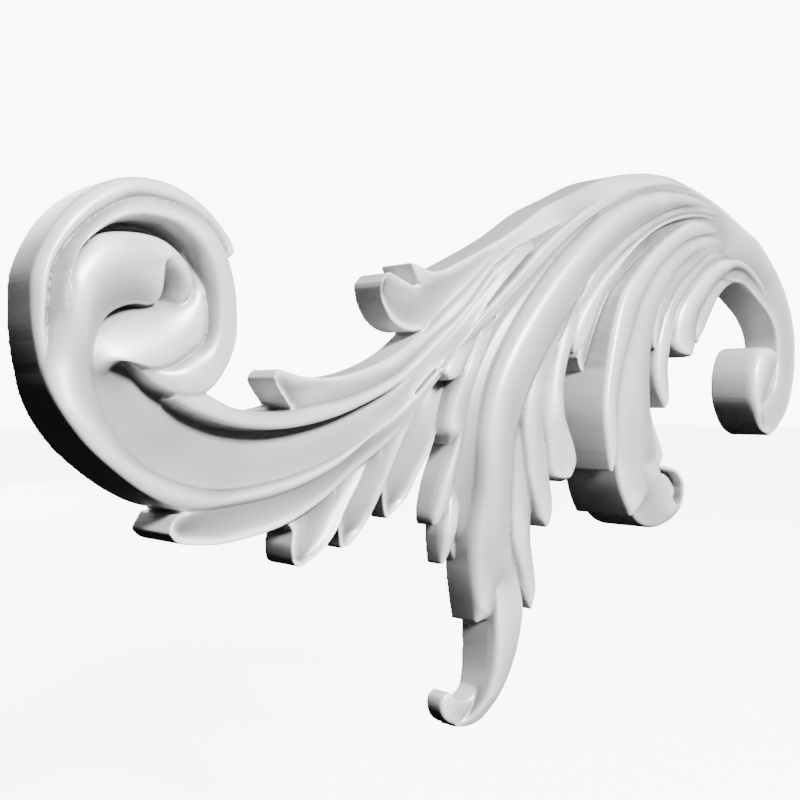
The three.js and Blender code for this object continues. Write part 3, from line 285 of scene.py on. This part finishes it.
# Right leaf: left lobe, blade, side lobe, rolled tip and the cup in its end
rightLeafStrands = [
    dict(left=[(149, 56, 14), (134, 59.6, 15.6), (118.6, 59.7, 16.9), (111.4, 57.3, 17.4),
               (102.2, 52.6, 17.6), (93.2, 46.7, 17.7), (86.2, 41.1, 17.7), (78.1, 33.5, 17.9),
               (73.1, 24.5, 18.3), (68.6, 12, 19), (65.4, -2.5, 19.7), (66.6, -13.5, 20),
               (68.2, -21.5, 20)],
         right=[(149, 53.4, 14), (134, 56, 15.5), (114, 52, 17.1), (97, 41, 17.8), (87.4, 31, 18.3),
                (79, 17, 19), (74, 6, 19.4), (71.6, -2, 19.8), (71.6, -14, 20), (69.2, -21.4, 20)],
         crown=(1, 1, 1)),
    dict(left=[(151, 54, 13.6), (136, 56.4, 15.2), (112, 52, 16.9), (99, 45, 17.6), (87.4, 34, 18.3),
               (79.7, 22, 18.8), (74, 11, 19.4), (70.9, 0, 19.7), (70.3, -11.3, 20), (70.7, -18.9, 20.2),
               (72, -25.7, 20.4), (74.4, -31.5, 20.5), (77, -35.5, 20.5)],
         right=[(151, 50, 13.6), (136, 51.4, 15.2), (118, 47.8, 16.7), (106, 41, 17.4), (98, 32, 17.9),
                (93, 22, 18.3), (90, 14, 18.8), (89.2, 6, 19.2), (89.2, -1, 19.5), (89.6, -8, 19.8),
                (91, -15.7, 20), (92, -21, 20.2), (88, -28, 20.4), (82, -33, 20.5), (77.8, -35.4, 20.5)],
         crown=(1.4, 1.4, 1.4)),
    dict(left=[(87, 7, 17.4), (87.6, -2, 18), (88.2, -10, 18.4), (91, -17, 18.7), (94.6, -20.6, 18.8)],
         right=[(90, 4, 17.6), (91.1, -3.2, 18.6), (92.8, -7.9, 18.8), (95.5, -12.7, 18.8),
                (97.6, -16.8, 18.8), (97.3, -19.1, 18.8), (95.6, -20.6, 18.8)],
         crown=(0.4, 0.4, 0.4)),
    dict(left=[(77, -27, 19.6), (80.4, -33.6, 18.8), (82.9, -36.6, 17.8), (86.9, -39, 17.2),
               (91, -40.3, 17), (95.8, -40.6, 17.4), (100.8, -39.3, 18.2), (105, -36.8, 18.8),
               (108, -33.3, 19.1), (109, -30.5, 19.2)],
         right=[(86, -17, 19.8), (90, -17, 20), (93.2, -21.8, 20.1), (96.9, -27.8, 20.1),
                (100.4, -31.6, 20), (104.3, -33.7, 19.8), (106.6, -33.4, 19.6), (108.3, -31.2, 19.4)],
         crown=(2, 2.2, 1), lean=0.62),
    dict(left=[(90, -17, 12.6), (93.4, -22.5, 12.6), (97.2, -28.4, 12.6), (100.8, -32.2, 12.8),
               (104.5, -34.2, 13.2), (107.2, -33.6, 14)],
         right=[(93.5, -20.6, 13), (100.6, -21.8, 13), (104.3, -23, 13.2), (106.8, -25.1, 13.4),
                (108.3, -27.5, 13.6), (108.4, -31, 14)],
         crown=(3.4, 4, 3), lean=0.5),
    dict(left=[(93, -20.2, 19), (100.6, -21.4, 19.3), (104.5, -22.5, 19.5), (107.1, -24.7, 19.6),
               (108.7, -26.8, 19.6), (109.1, -31.5, 19.4)],
         right=[(93, -21.6, 18.6), (100.3, -22.8, 19), (103.8, -23.9, 19.2), (106.1, -25.8, 19.3),
                (107.4, -27.8, 19.3), (107.8, -31.5, 19.2)],
         crown=(0, 0, 0)),
]

# Arm with its curl, and the three lobes that hang from it
armStrands = [
    # bed of the whole fan, which rises to be the arm and curls over
    dict(left=[(6, 34.2, 8), (19, 40.2, 9.5), (31.7, 46.6, 10.5), (45.8, 55, 11), (59, 61, 11.6),
               (74, 67.5, 12.5), (88, 71, 13.8), (102, 73.1, 15.4), (114, 72, 16), (127, 69.1, 16.6),
               (140, 65.3, 16.6), (151, 61.2, 16.4), (162, 57.6, 16), (172, 51.5, 15.4), (180.3, 44.7, 15),
               (186.7, 35.8, 15), (190.5, 25.5, 15), (191, 14.6, 15), (189, 4.4, 15), (184.7, -4, 15),
               (176.4, -11, 15), (171, -13, 15), (167.4, -12, 15)],
         right=[(14, 10, 9), (28, 20, 10.5), (42, 32, 12), (58, 42, 12), (76, 44, 12), (92, 42, 12.4),
                (101, 41.5, 12.8), (112, 42.5, 13.6), (123, 45, 14.6), (134, 42.5, 15), (145.6, 41.4, 15),
                (154.6, 40.9, 14.6), (165.9, 35.6, 14.2), (173.6, 30.8, 14), (179, 24.4, 13.8),
                (180.6, 17, 13.5), (179.6, 10.8, 13.3), (178, 5.4, 13.3), (174, 1.7, 13.4),
                (168.8, -1.2, 13.8), (166, -4, 14.2), (165.4, -8, 14.6)],
         crown=(0.4, 0.2, 0.8), lean=0.42),
    # curl, whose side swells to a low dome inside the arm's last turn
    dict(left=[(176.5, 17.4, 13.6), (168, 19.3, 14.4), (161.5, 17.7, 14.7), (157.2, 10.8, 15),
               (156.4, 4, 15), (157.2, -1, 15), (160.8, -7.2, 15), (164.5, -10.6, 15), (168, -12.2, 15)],
         right=[(179, 15.4, 12), (179.6, 10.6, 12), (178.2, 5.6, 12), (174.6, 2, 12.2), (169.4, -0.6, 13),
                (167, -3, 14.2), (166.6, -6.4, 14.9), (169, -10.6, 15)],
         crown=(2.4, 4, 0.3), lean=0.34, profile=0.8),
    dict(left=[(160, -6, 4), (159, 4, 4), (163, 14, 4), (170, 17, 4)],
         right=[(172, -9, 4), (182, -2, 4), (186, 8, 4), (184, 18, 4)],
         crown=(0, 0, 0)),
    # hanging lobes, from the leaf outward
    dict(left=[(154, 52.4, 13.4), (139.8, 53.2, 15.2), (127, 51.8, 16.6), (116.6, 48.4, 16.8),
               (110.8, 44.6, 16.8), (103.7, 39.4, 16.6), (99.5, 34.5, 16.4), (97.6, 29.4, 16.2),
               (97, 23, 15.6), (98, 17, 15)],
         right=[(154, 49.6, 13.4), (141, 50.2, 15), (130.1, 49.6, 16.1), (123.3, 46, 16),
                (116.7, 41.6, 15.8), (111, 37, 15.5), (106.3, 31, 15.2), (103, 25.5, 15), (100.9, 20, 14.8),
                (99.4, 16.4, 14.6)],
         crown=(0.6, 0.6, 0.6)),
    dict(left=[(157, 50, 13.2), (142, 51, 15), (130.1, 50.7, 15.9), (123.3, 47.2, 15.8),
               (116.7, 42.8, 15.6), (111, 38.1, 15.3), (106.3, 32.2, 15), (103.3, 26.9, 14.9),
               (100.9, 22.2, 15), (99.3, 16.1, 15), (98.6, 8.1, 15), (100.5, 2, 15), (103.7, -2.6, 15)],
         right=[(157, 46.6, 13.2), (144, 47.8, 14.6), (134.7, 47.2, 15.1), (127.5, 44, 15.2),
                (121.3, 39.7, 15.2), (115.6, 34.6, 15), (111.3, 30, 14.9), (109.4, 26, 14.9),
                (108.2, 22, 14.9), (106.6, 15.9, 15), (105.6, 10.2, 15), (106.4, 2, 15), (105.9, -1.2, 15),
                (104.4, -2.7, 15)],
         crown=(1.4, 1.4, 1.4)),
    dict(left=[(177, 34.4, 12), (169, 41.4, 13.2), (160, 46.8, 14), (150, 49.6, 14.8), (142.1, 49.2, 15.4),
               (134.5, 48.1, 15.7), (127.2, 45, 15.8), (121, 40.7, 15.8), (115.3, 35.6, 15.6),
               (111.3, 31.1, 15.4), (109.1, 26.8, 15.2), (108.2, 22.5, 15), (108.2, 19.2, 15),
               (109.4, 16.5, 15), (111.9, 14.6, 15), (114.2, 14.1, 15)],
         right=[(176, 31, 12), (168, 37, 13), (160, 42, 13.6), (152, 45, 14), (145.4, 45.2, 14.3),
                (139.1, 42.2, 14.2), (133, 37.8, 14.1), (127.8, 32.6, 14), (124, 27.1, 13.9),
                (122.7, 22.2, 14), (121.9, 18.8, 14.2), (120.5, 16.6, 14.5), (118.1, 14.7, 14.8),
                (115, 14.1, 15)],
         crown=(3.2, 3.2, 3.2)),
    dict(left=[(163, 42, 13.2), (154, 45, 14), (145.4, 45.6, 14.2), (139.1, 42.8, 14), (133, 38.4, 13.6),
               (127.8, 33.4, 13.2), (124, 28, 12.7), (124.4, 23, 12.4), (127.4, 19.5, 12.2)],
         right=[(163, 37.6, 13.6), (158, 39.6, 14), (151.6, 41.4, 14), (145.2, 40, 13.8),
                (139.3, 35.7, 13.4), (135.3, 30.2, 13), (131.4, 24.1, 12.6), (127.9, 19.2, 12.2)],
         crown=(1, 1, 1)),
    # ground under the right leaf and the lobes
    dict(left=[(58, 58, 4), (57.6, 46, 4), (57.6, 36, 4), (60.4, 27, 4), (63.4, 20, 4), (68, 10, 4),
               (68, -4, 4), (72, -18, 4), (78, -31, 4), (88, -37, 4), (101, -37, 4)],
         right=[(150, 56, 4), (138, 46, 4), (131, 38, 4), (125, 29, 4), (112, 23, 4), (98, 14, 4),
                (87, -2, 4), (91, -14.4, 4), (98, -23.6, 4), (105, -31, 4)],
         crown=(0, 0, 0)),
]


carving = {
    "drawnLength": 301, "length": 301,      # mm
    "drawnHeight": 165, "height": 165,
    "drawnRelief": 21.5, "relief": 21.5,
    "railSteps": 12,                        # from one drawn point to the next
    "rowStep": 1.0,                         # along a strand
    "columnStep": 0.5,                      # across it
    "fewest": 8,                            # steps along or across a small strand
    "endCrowding": 0.75,                    # steps lie closer at the ends, 0 is even
    "edgeCrowding": 0.6,
    "rimWidth": 1.2, "rimDrop": 1.0,        # rounded edge of every leaf
    "profile": 0.7,                         # 1 is a soft arch, 0.5 a full half round
    "lean": 0.5,                            # share of the width where the crest lies
    "fullWidth": 8,                         # a strand narrower than this bulges less
    "weld": 0.002,                          # mm; points this near become one
    "grain": 0.3,         # size of the cells that fuse the strands
    "planed": 0.6,                          # cells; what comes this near the back is cut flush
    "rubbing": 5, "rubbingStrength": 0.5,   # passes of sanding
    "faces": 192000,
    "creaseAngle": 42,                      # degrees
}


# short hands for node trees
def numberInput(tree, name, value, whole=False):
    kind = "NodeSocketInt" if whole else "NodeSocketFloat"
    tree.interface.new_socket(name, in_out="INPUT", socket_type=kind).default_value = value


def addNode(tree, kind, *values, **settings):
    new = tree.nodes.new(kind)
    for key, value in settings.items():
        setattr(new, key, value)
    for slot, value in enumerate(values):
        if isinstance(value, bpy.types.NodeSocket):
            tree.links.new(value, new.inputs[slot])
        elif value is not None:
            new.inputs[slot].default_value = value
    return new


def calc(tree, work, *values):
    return addNode(tree, "ShaderNodeMath", *values, operation=work).outputs[0]


def vec(tree, work, *values):
    return addNode(tree, "ShaderNodeVectorMath", *values, operation=work).outputs[0]


# one carved strand between two rails, as a tree with named inputs
def buildStrandTree():
    tree = bpy.data.node_groups.new("carvedStrand", "GeometryNodeTree")
    face = tree.interface
    face.new_socket("Rails", in_out="INPUT", socket_type="NodeSocketGeometry")
    for name, value, whole in (("Rows", 20, True), ("Columns", 12, True),
                               ("Crown start", 0, False), ("Crown middle", 0, False), ("Crown end", 0, False),
                               ("Lean power", 1, False), ("Fullness", 1, False),
                               ("Rim width", 1.2, False), ("Rim drop", 1, False), ("Full width", 8, False)):
        numberInput(tree, name, value, whole)
    face.new_socket("Finish", in_out="INPUT", socket_type="NodeSocketMaterial")
    face.new_socket("Strand", in_out="OUTPUT", socket_type="NodeSocketGeometry")
    given = tree.nodes.new("NodeGroupInput").outputs

    side = addNode(tree, "GeometryNodeInputNamedAttribute", "side", data_type="FLOAT").outputs["Attribute"]
    isRight = addNode(tree, "FunctionNodeCompare", side, 0.5, data_type="FLOAT", operation="GREATER_THAN")
    rails = addNode(tree, "GeometryNodeSeparateGeometry", given["Rails"], isRight.outputs[0],
                    domain="POINT").outputs
    leftRail = addNode(tree, "GeometryNodeMeshToCurve", rails["Inverted"]).outputs[0]
    rightRail = addNode(tree, "GeometryNodeMeshToCurve", rails["Selection"]).outputs[0]
    grid = addNode(tree, "GeometryNodeMeshGrid", 1.0, 1.0, given["Rows"], given["Columns"]).outputs[0]
    gridPlace = tree.nodes.new("GeometryNodeInputPosition").outputs[0]
    place = addNode(tree, "ShaderNodeSeparateXYZ", gridPlace).outputs

    def eased(value, strength):      # steps lie closer together towards both ends
        share = calc(tree, "ADD", value, 0.5)
        wave = calc(tree, "SINE", calc(tree, "MULTIPLY", share, 2 * math.pi))
        share = calc(tree, "SUBTRACT", share, calc(tree, "MULTIPLY", wave, strength / (2 * math.pi)))
        return calc(tree, "MINIMUM", calc(tree, "MAXIMUM", share, 0.0), 1.0)

    def onRail(rail):
        return addNode(tree, "GeometryNodeSampleCurve", rail, None, along, mode="FACTOR").outputs["Position"]

    along, across = eased(place[0], carving["endCrowding"]), eased(place[1], carving["edgeCrowding"])
    left, right = onRail(leftRail), onRail(rightRail)
    span = vec(tree, "SUBTRACT", right, left)
    flatSpan = vec(tree, "MULTIPLY", span, (1, 0, 1))
    width = addNode(tree, "ShaderNodeVectorMath", flatSpan, operation="LENGTH").outputs[1]
    width = calc(tree, "MAXIMUM", width, 1e-6)      # never divided by nought
    part = addNode(tree, "ShaderNodeVectorMath", span, operation="SCALE")
    tree.links.new(across, part.inputs["Scale"])
    onSheet = vec(tree, "ADD", left, part.outputs[0])

    # bulge or hollow: three heights along the strand, one hump across it
    rest = calc(tree, "SUBTRACT", 1.0, along)
    fore = calc(tree, "SUBTRACT", 1.0, calc(tree, "MULTIPLY", along, 2.0))
    crown = calc(tree, "MULTIPLY", calc(tree, "MULTIPLY", rest, fore), given["Crown start"])
    middle = calc(tree, "MULTIPLY", calc(tree, "MULTIPLY", along, rest), 4.0)
    crown = calc(tree, "MULTIPLY_ADD", middle, given["Crown middle"], crown)
    ending = calc(tree, "MULTIPLY", calc(tree, "MULTIPLY", along, fore), -1.0)
    crown = calc(tree, "MULTIPLY_ADD", ending, given["Crown end"], crown)
    slim = calc(tree, "MINIMUM", calc(tree, "DIVIDE", width, given["Full width"]), 1.0)
    leaned = calc(tree, "POWER", across, given["Lean power"])
    hump = calc(tree, "MULTIPLY", calc(tree, "MULTIPLY", leaned, calc(tree, "SUBTRACT", 1.0, leaned)), 4.0)
    hump = calc(tree, "POWER", calc(tree, "MAXIMUM", hump, 0.0), given["Fullness"])
    lift = calc(tree, "MULTIPLY", hump, calc(tree, "MULTIPLY", crown, slim))

    # rounded rim, no wider than a third of the strand
    rim = calc(tree, "MINIMUM", given["Rim width"], calc(tree, "DIVIDE", width, 3.0))
    inward = calc(tree, "MULTIPLY", calc(tree, "MINIMUM", across, calc(tree, "SUBTRACT", 1.0, across)), width)
    inward = calc(tree, "MINIMUM", calc(tree, "DIVIDE", inward, rim), 1.0)
    arc = calc(tree, "SQRT", calc(tree, "MULTIPLY", inward, calc(tree, "SUBTRACT", 2.0, inward)))
    loss = calc(tree, "MULTIPLY", calc(tree, "SUBTRACT", 1.0, arc), given["Rim drop"])
    forward = addNode(tree, "ShaderNodeCombineXYZ", 0.0, calc(tree, "SUBTRACT", loss, lift), 0.0).outputs[0]
    raisedPlace = vec(tree, "ADD", onSheet, forward)

    # the sheet is extruded for its walls, and a flipped flat copy closes the back
    stored = addNode(tree, "GeometryNodeStoreNamedAttribute", grid, None, "raisedPlace", raisedPlace,
                     data_type="FLOAT_VECTOR", domain="POINT").outputs[0]
    onBack = vec(tree, "MULTIPLY", onSheet, (1, 0, 1))
    flat = addNode(tree, "GeometryNodeSetPosition", stored, None, onBack).outputs[0]
    walls = addNode(tree, "GeometryNodeExtrudeMesh", flat, None, None, 0.0, False, mode="FACES").outputs
    target = addNode(tree, "GeometryNodeInputNamedAttribute", "raisedPlace", data_type="FLOAT_VECTOR")
    block = addNode(tree, "GeometryNodeSetPosition", walls["Mesh"], walls["Top"], target.outputs["Attribute"])
    joined = tree.nodes.new("GeometryNodeJoinGeometry")
    tree.links.new(block.outputs[0], joined.inputs[0])
    tree.links.new(addNode(tree, "GeometryNodeFlipFaces", flat).outputs[0], joined.inputs[0])
    closed = addNode(tree, "GeometryNodeMergeByDistance", joined.outputs[0], None, carving["weld"] * mm)
    real = addNode(tree, "GeometryNodeRealizeInstances", closed.outputs[0]).outputs[0]
    painted = addNode(tree, "GeometryNodeSetMaterial", real)
    tree.links.new(given["Finish"], painted.inputs["Material"])
    tree.links.new(painted.outputs[0], tree.nodes.new("NodeGroupOutput").inputs[0])
    return tree


def smoothRail(points):      # centripetal Catmull-Rom, in metres
    scale = [carving["length"] / carving["drawnLength"], carving["height"] / carving["drawnHeight"],
             carving["relief"] / carving["drawnRelief"]]
    p = np.array(points, float) * scale * mm
    p = np.vstack([2 * p[0] - p[1], p, 2 * p[-1] - p[-2]])
    steps = carving["railSteps"]
    line = []
    for i in range(1, len(p) - 2):
        a, b, c, d = p[i - 1:i + 3]
        s0, s1, s2 = [max(np.linalg.norm(v), 1e-9) ** 0.5 for v in (b - a, c - b, d - c)]
        m0 = ((b - a) / s0 - (c - a) / (s0 + s1) + (c - b) / s1) * s1
        m1 = ((c - b) / s1 - (d - b) / (s1 + s2) + (d - c) / s2) * s1
        for t in np.arange(steps) / steps:
            line.append(b + m0 * t + (3 * (c - b) - 2 * m0 - m1) * t ** 2 + (2 * (b - c) + m0 + m1) * t ** 3)
    line.append(p[-2])
    line = np.array(line)
    return np.column_stack([line[:, 0], -line[:, 2], line[:, 1]])


def railLength(line):
    return float(np.linalg.norm(np.diff(line, axis=0), axis=1).sum()) / mm


def greatestWidth(left, right):      # measured at nine places
    gaps = [left[int(s * (len(left) - 1))] - right[int(s * (len(right) - 1))] for s in np.linspace(0, 1, 9)]
    return max(np.linalg.norm(gap) for gap in gaps) / mm


def carveStrand(name, tree, drawing, finish):
    left, right = smoothRail(drawing["left"]), smoothRail(drawing["right"])
    points = np.vstack([left, right])
    edges = [(i, i + 1) for i in range(len(points) - 1) if i != len(left) - 1]
    mesh = bpy.data.meshes.new(name)
    mesh.from_pydata(points.tolist(), edges, [])
    mesh.attributes.new("side", "FLOAT", "POINT").data.foreach_set(
        "value", [0.0] * len(left) + [1.0] * len(right))
    strand = bpy.data.objects.new(name, mesh)
    bpy.context.scene.collection.objects.link(strand)
    longest = max(railLength(left), railLength(right))
    widest = greatestWidth(left, right)
    start, middle, end = drawing["crown"]
    values = {"Rows": max(carving["fewest"], round(longest / carving["rowStep"])),
              "Columns": max(carving["fewest"], round(widest / carving["columnStep"])),
              "Crown start": start * mm, "Crown middle": middle * mm, "Crown end": end * mm,
              "Lean power": math.log(0.5) / math.log(drawing.get("lean", carving["lean"])),
              "Fullness": drawing.get("profile", carving["profile"]),
              "Rim width": carving["rimWidth"] * mm, "Rim drop": carving["rimDrop"] * mm,
              "Full width": carving["fullWidth"] * mm, "Finish": finish}
    maker = strand.modifiers.new("carve", "NODES")
    maker.node_group = tree
    for socket in tree.interface.items_tree:
        if socket.in_out == "INPUT" and socket.name in values:
            maker[socket.identifier] = values[socket.name]
    evaluated = strand.evaluated_get(bpy.context.evaluated_depsgraph_get())
    baked = bpy.data.meshes.new_from_object(evaluated)
    bpy.data.objects.remove(strand)
    return baked


def joinedMesh(name, meshes):
    corners, faces, offset = [], [], 0
    for mesh in meshes:
        place = np.empty(len(mesh.vertices) * 3)
        mesh.vertices.foreach_get("co", place)
        corners.append(place.reshape(-1, 3))
        faces += [[v + offset for v in face.vertices] for face in mesh.polygons]
        offset += len(mesh.vertices)
        bpy.data.meshes.remove(mesh)
    joined = bpy.data.meshes.new(name)
    joined.from_pydata(np.vstack(corners).tolist(), [], faces)
    return joined


def applied(piece):      # its mesh with the modifiers worked in
    mesh = bpy.data.meshes.new_from_object(piece.evaluated_get(bpy.context.evaluated_depsgraph_get()))
    piece.modifiers.clear()
    piece.data = mesh
    return mesh


def flatten(mesh):      # the back is planed true, and nothing passes behind it
    place = np.empty(len(mesh.vertices) * 3)
    mesh.vertices.foreach_get("co", place)
    place = place.reshape(-1, 3)
    place[place[:, 1] > -carving["planed"] * carving["grain"] * mm, 1] = 0
    mesh.vertices.foreach_set("co", place.ravel())
    mesh.update()


def fuse(name, meshes, finish):      # strands become one skin, sanded lightly, with a flat back
    piece = bpy.data.objects.new(name, joinedMesh(name, meshes))
    bpy.context.scene.collection.objects.link(piece)
    skin = piece.modifiers.new("skin", "REMESH")
    skin.mode = "VOXEL"
    skin.voxel_size = carving["grain"] * mm
    sand = piece.modifiers.new("sand", "SMOOTH")
    sand.factor, sand.iterations = carving["rubbingStrength"], carving["rubbing"]
    fused = applied(piece)
    print("fused", len(fused.polygons), "cells")
    flatten(fused)
    thin = piece.modifiers.new("thin", "DECIMATE")
    triangles = sum(len(face.vertices) - 2 for face in fused.polygons)
    thin.ratio = min(1.0, carving["faces"] / triangles)
    final = applied(piece)
    final.name = name
    flatten(final)
    final.materials.clear()
    final.materials.append(finish)
    final.shade_smooth()
    final.set_sharp_from_angle(angle=math.radians(carving["creaseAngle"]))
    markRelief(final)
    return piece


relief = {
    "spread": 14,       # how far round each point its surroundings are averaged, in rounds
    "reach": 0.33,      # mm over or under them that counts in full
    "blur": 7,          # rounds that even out the result
}


# how far each point stands out of or lies under its surroundings, kept for the painted highlight on ridges
# and the painted shade in hollows
def markRelief(mesh):
    count = len(mesh.vertices)
    place, normal = np.empty(count * 3), np.empty(count * 3)
    mesh.vertices.foreach_get("co", place)
    mesh.vertices.foreach_get("normal", normal)
    place, normal = place.reshape(-1, 3), normal.reshape(-1, 3)
    ends = np.empty(len(mesh.edges) * 2, int)
    mesh.edges.foreach_get("vertices", ends)
    here, there = np.concatenate([ends[0::2], ends[1::2]]), np.concatenate([ends[1::2], ends[0::2]])
    neighbours = np.maximum(np.bincount(here, minlength=count), 1)

    def averaged(value):
        return np.bincount(here, value[there], count) / neighbours

    smooth = place.copy()
    for _ in range(relief["spread"]):
        smooth = np.column_stack([averaged(smooth[:, axis]) for axis in range(3)])
    depth = ((smooth - place) * normal).sum(1) / (relief["reach"] * mm)
    for _ in range(relief["blur"]):
        depth = 0.5 * depth + 0.5 * averaged(depth)
    for name, value in (("recess", depth), ("ridge", -depth)):
        marks = mesh.attributes.new(name, "FLOAT", "POINT").data
        marks.foreach_set("value", np.clip(value, 0, 1).astype(np.float32))


primer = {
    "colour": (0.31, 0.31, 0.307, 1),
    "paintedHighlight": (0.62, 0.62, 0.612, 1),         # painted highlight on ridges and edges
    "paintedShade": (0.05, 0.049, 0.047, 1),      # painted shade in the hollows
    "paintedShadeAmount": 0.9, "paintedHighlightAmount": 0.9,
    "cloud": 0.05,                          # slight unevenness of the coat
    "cloudSize": 45, "cloudDetail": 4,
    "roughness": 0.42, "roughSpread": 0.1, "shadedRoughness": 0.25,
    "specular": 1.0,
    "lacquer": 1.0, "lacquerRoughness": 0.36,
    "grainSize": 900, "grainDetail": 3,     # wood grain under the primer, along the carving
    "grainStretch": 0.07, "grainDepth": 0.02, "grainStrength": 0.6,
}


def primedWood():
    finish = bpy.data.materials.new("primedWood")
    finish.use_nodes = True
    tree = finish.node_tree
    shader = tree.nodes["Principled BSDF"]
    place = tree.nodes.new("ShaderNodeTexCoord").outputs["Object"]
    recess = addNode(tree, "ShaderNodeAttribute", attribute_name="recess").outputs["Fac"]
    ridge = addNode(tree, "ShaderNodeAttribute", attribute_name="ridge").outputs["Fac"]

    def noise(where, size, detail):
        texture = addNode(tree, "ShaderNodeTexNoise", where)
        texture.inputs["Scale"].default_value, texture.inputs["Detail"].default_value = size, detail
        return texture.outputs["Fac"]

    def blend(share, first, second):
        mix = addNode(tree, "ShaderNodeMix", data_type="RGBA")
        for socket, value in (("Factor_Float", share), ("A_Color", first), ("B_Color", second)):
            target = [s for s in mix.inputs if s.identifier == socket][0]
            if isinstance(value, bpy.types.NodeSocket):
                tree.links.new(value, target)
            else:
                target.default_value = value
        return [s for s in mix.outputs if s.identifier == "Result_Color"][0]

    def tone(value, dim):
        return tuple(c * dim for c in value[:3]) + (1,)

    clouds = noise(place, primer["cloudSize"], primer["cloudDetail"])
    along = addNode(tree, "ShaderNodeMapping", place, vector_type="POINT")
    along.inputs["Scale"].default_value = (primer["grainStretch"], 1, 1)
    grain = noise(along.outputs[0], primer["grainSize"], primer["grainDetail"])

    dull, bright = tone(primer["colour"], 1 - primer["cloud"]), tone(primer["colour"], 1 + primer["cloud"])
    coat = blend(clouds, dull, bright)
    # painted highlight: ridges and edges are lightened towards a pale tone
    coat = blend(calc(tree, "MULTIPLY", ridge, primer["paintedHighlightAmount"]), coat, primer["paintedHighlight"])
    # painted shade: hollows are darkened nearly to black
    coat = blend(calc(tree, "MULTIPLY", recess, primer["paintedShadeAmount"]), coat, primer["paintedShade"])
    tree.links.new(coat, shader.inputs["Base Color"])
    smoothest = primer["roughness"] - 0.5 * primer["roughSpread"]
    rough = calc(tree, "MULTIPLY_ADD", clouds, primer["roughSpread"], smoothest)
    rough = calc(tree, "MULTIPLY_ADD", recess, primer["shadedRoughness"], rough)
    tree.links.new(rough, shader.inputs["Roughness"])
    shader.inputs["Specular IOR Level"].default_value = primer["specular"]
    shader.inputs["Coat Weight"].default_value = primer["lacquer"]
    shader.inputs["Coat Roughness"].default_value = primer["lacquerRoughness"]
    bump = addNode(tree, "ShaderNodeBump")
    bump.inputs["Strength"].default_value = primer["grainStrength"]
    bump.inputs["Distance"].default_value = primer["grainDepth"] * mm
    tree.links.new(grain, bump.inputs["Height"])
    tree.links.new(bump.outputs[0], shader.inputs["Normal"])
    return finish


finish = primedWood()
strandTree = buildStrandTree()
meshes = []
for group in (scrollStrands, stemStrands, footLeavesStrands, topLeafStrands, centralLeafStrands,
              teethStrands, rightLeafStrands, armStrands):
    meshes += [carveStrand("strand%d" % (len(meshes) + i), strandTree, drawing, finish)
               for i, drawing in enumerate(group)]
print("carved", len(meshes), "strands")
onlay = fuse("carvedOnlay", meshes, finish)
print("onlay", len(onlay.data.polygons), "faces")
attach(onlay, "root")
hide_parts("carved_onlay")


# floor, backdrop and studio lamps; the two backgrounds glow for the camera alone
studio = {
    "floorDrop": 0.16, "floorReach": 6.0,      # m
    "floorTone": (0.9, 0.9, 0.9, 1), "floorRoughness": 0.9, "floorGlow": 7.0,
    "backdropGlow": 9.9, "dimLight": 0.01,
    "aim": (0.04, 0, -0.01),
}
lamps = [
    dict(name="key", place=(-0.17, -1.72, 0.95), size=0.4, power=205),
    dict(name="back", place=(0.3, 1.8, 0.5), size=0.8, power=30),
]


def makeFloor():
    mesh = bpy.data.meshes.new("floor")
    s, z = studio["floorReach"], -studio["floorDrop"]
    mesh.from_pydata([(-s, -s, z), (s, -s, z), (s, s, z), (-s, s, z)], [], [(0, 1, 2, 3)])
    floor = bpy.data.objects.new("floor", mesh)
    bpy.context.scene.collection.objects.link(floor)
    paint = bpy.data.materials.new("paleFloor")
    paint.use_nodes = True
    shader = paint.node_tree.nodes["Principled BSDF"]
    shader.inputs["Base Color"].default_value = studio["floorTone"]
    shader.inputs["Roughness"].default_value = studio["floorRoughness"]
    shader.inputs["Emission Color"].default_value = (1, 1, 1, 1)
    seen = paint.node_tree.nodes.new("ShaderNodeLightPath").outputs["Is Camera Ray"]
    glow = calc(paint.node_tree, "MULTIPLY", seen, studio["floorGlow"])
    paint.node_tree.links.new(glow, shader.inputs["Emission Strength"])
    mesh.materials.append(paint)
    floor.visible_diffuse = False
    floor.visible_glossy = False


def makeBackdrop():
    world = bpy.data.worlds.new("studio")
    bpy.context.scene.world = world
    world.use_nodes = True
    tree = world.node_tree
    seen = tree.nodes.new("ShaderNodeLightPath").outputs["Is Camera Ray"]
    glow = calc(tree, "MULTIPLY_ADD", seen, studio["backdropGlow"], studio["dimLight"])
    tree.nodes["Background"].inputs["Color"].default_value = (1, 1, 1, 1)
    tree.links.new(glow, tree.nodes["Background"].inputs["Strength"])


def turnTo(thing, target):
    thing.rotation_euler = (Vector(target) - thing.location).to_track_quat("-Z", "Y").to_euler()


def softLight(name, place, size, power):
    light = bpy.data.lights.new(name, "AREA")
    light.size, light.energy = size, power
    lamp = bpy.data.objects.new(name, light)
    lamp.location = place
    turnTo(lamp, studio["aim"])
    bpy.context.scene.collection.objects.link(lamp)


makeFloor()
makeBackdrop()
for lamp in lamps:
    softLight(**lamp)
print("studio lit with", len(lamps), "lamps")

# the photograph's view: turned to the left of the carving, level with its throat
view = {"turn": 43, "distance": 0.302, "lens": 50, "film": 36, "nearest": 0.01}      # degrees, m, mm, mm, m
camera = bpy.data.cameras.new("camera")
camera.lens, camera.sensor_width, camera.clip_start = view["lens"], view["film"], view["nearest"]
cameraObject = bpy.data.objects.new("camera", camera)
turn, distance = math.radians(view["turn"]), view["distance"]
cameraObject.location = (-distance * math.sin(turn), -distance * math.cos(turn), 0)
turnTo(cameraObject, (0, 0, 0))
bpy.context.scene.collection.objects.link(cameraObject)
bpy.context.scene.camera = cameraObject
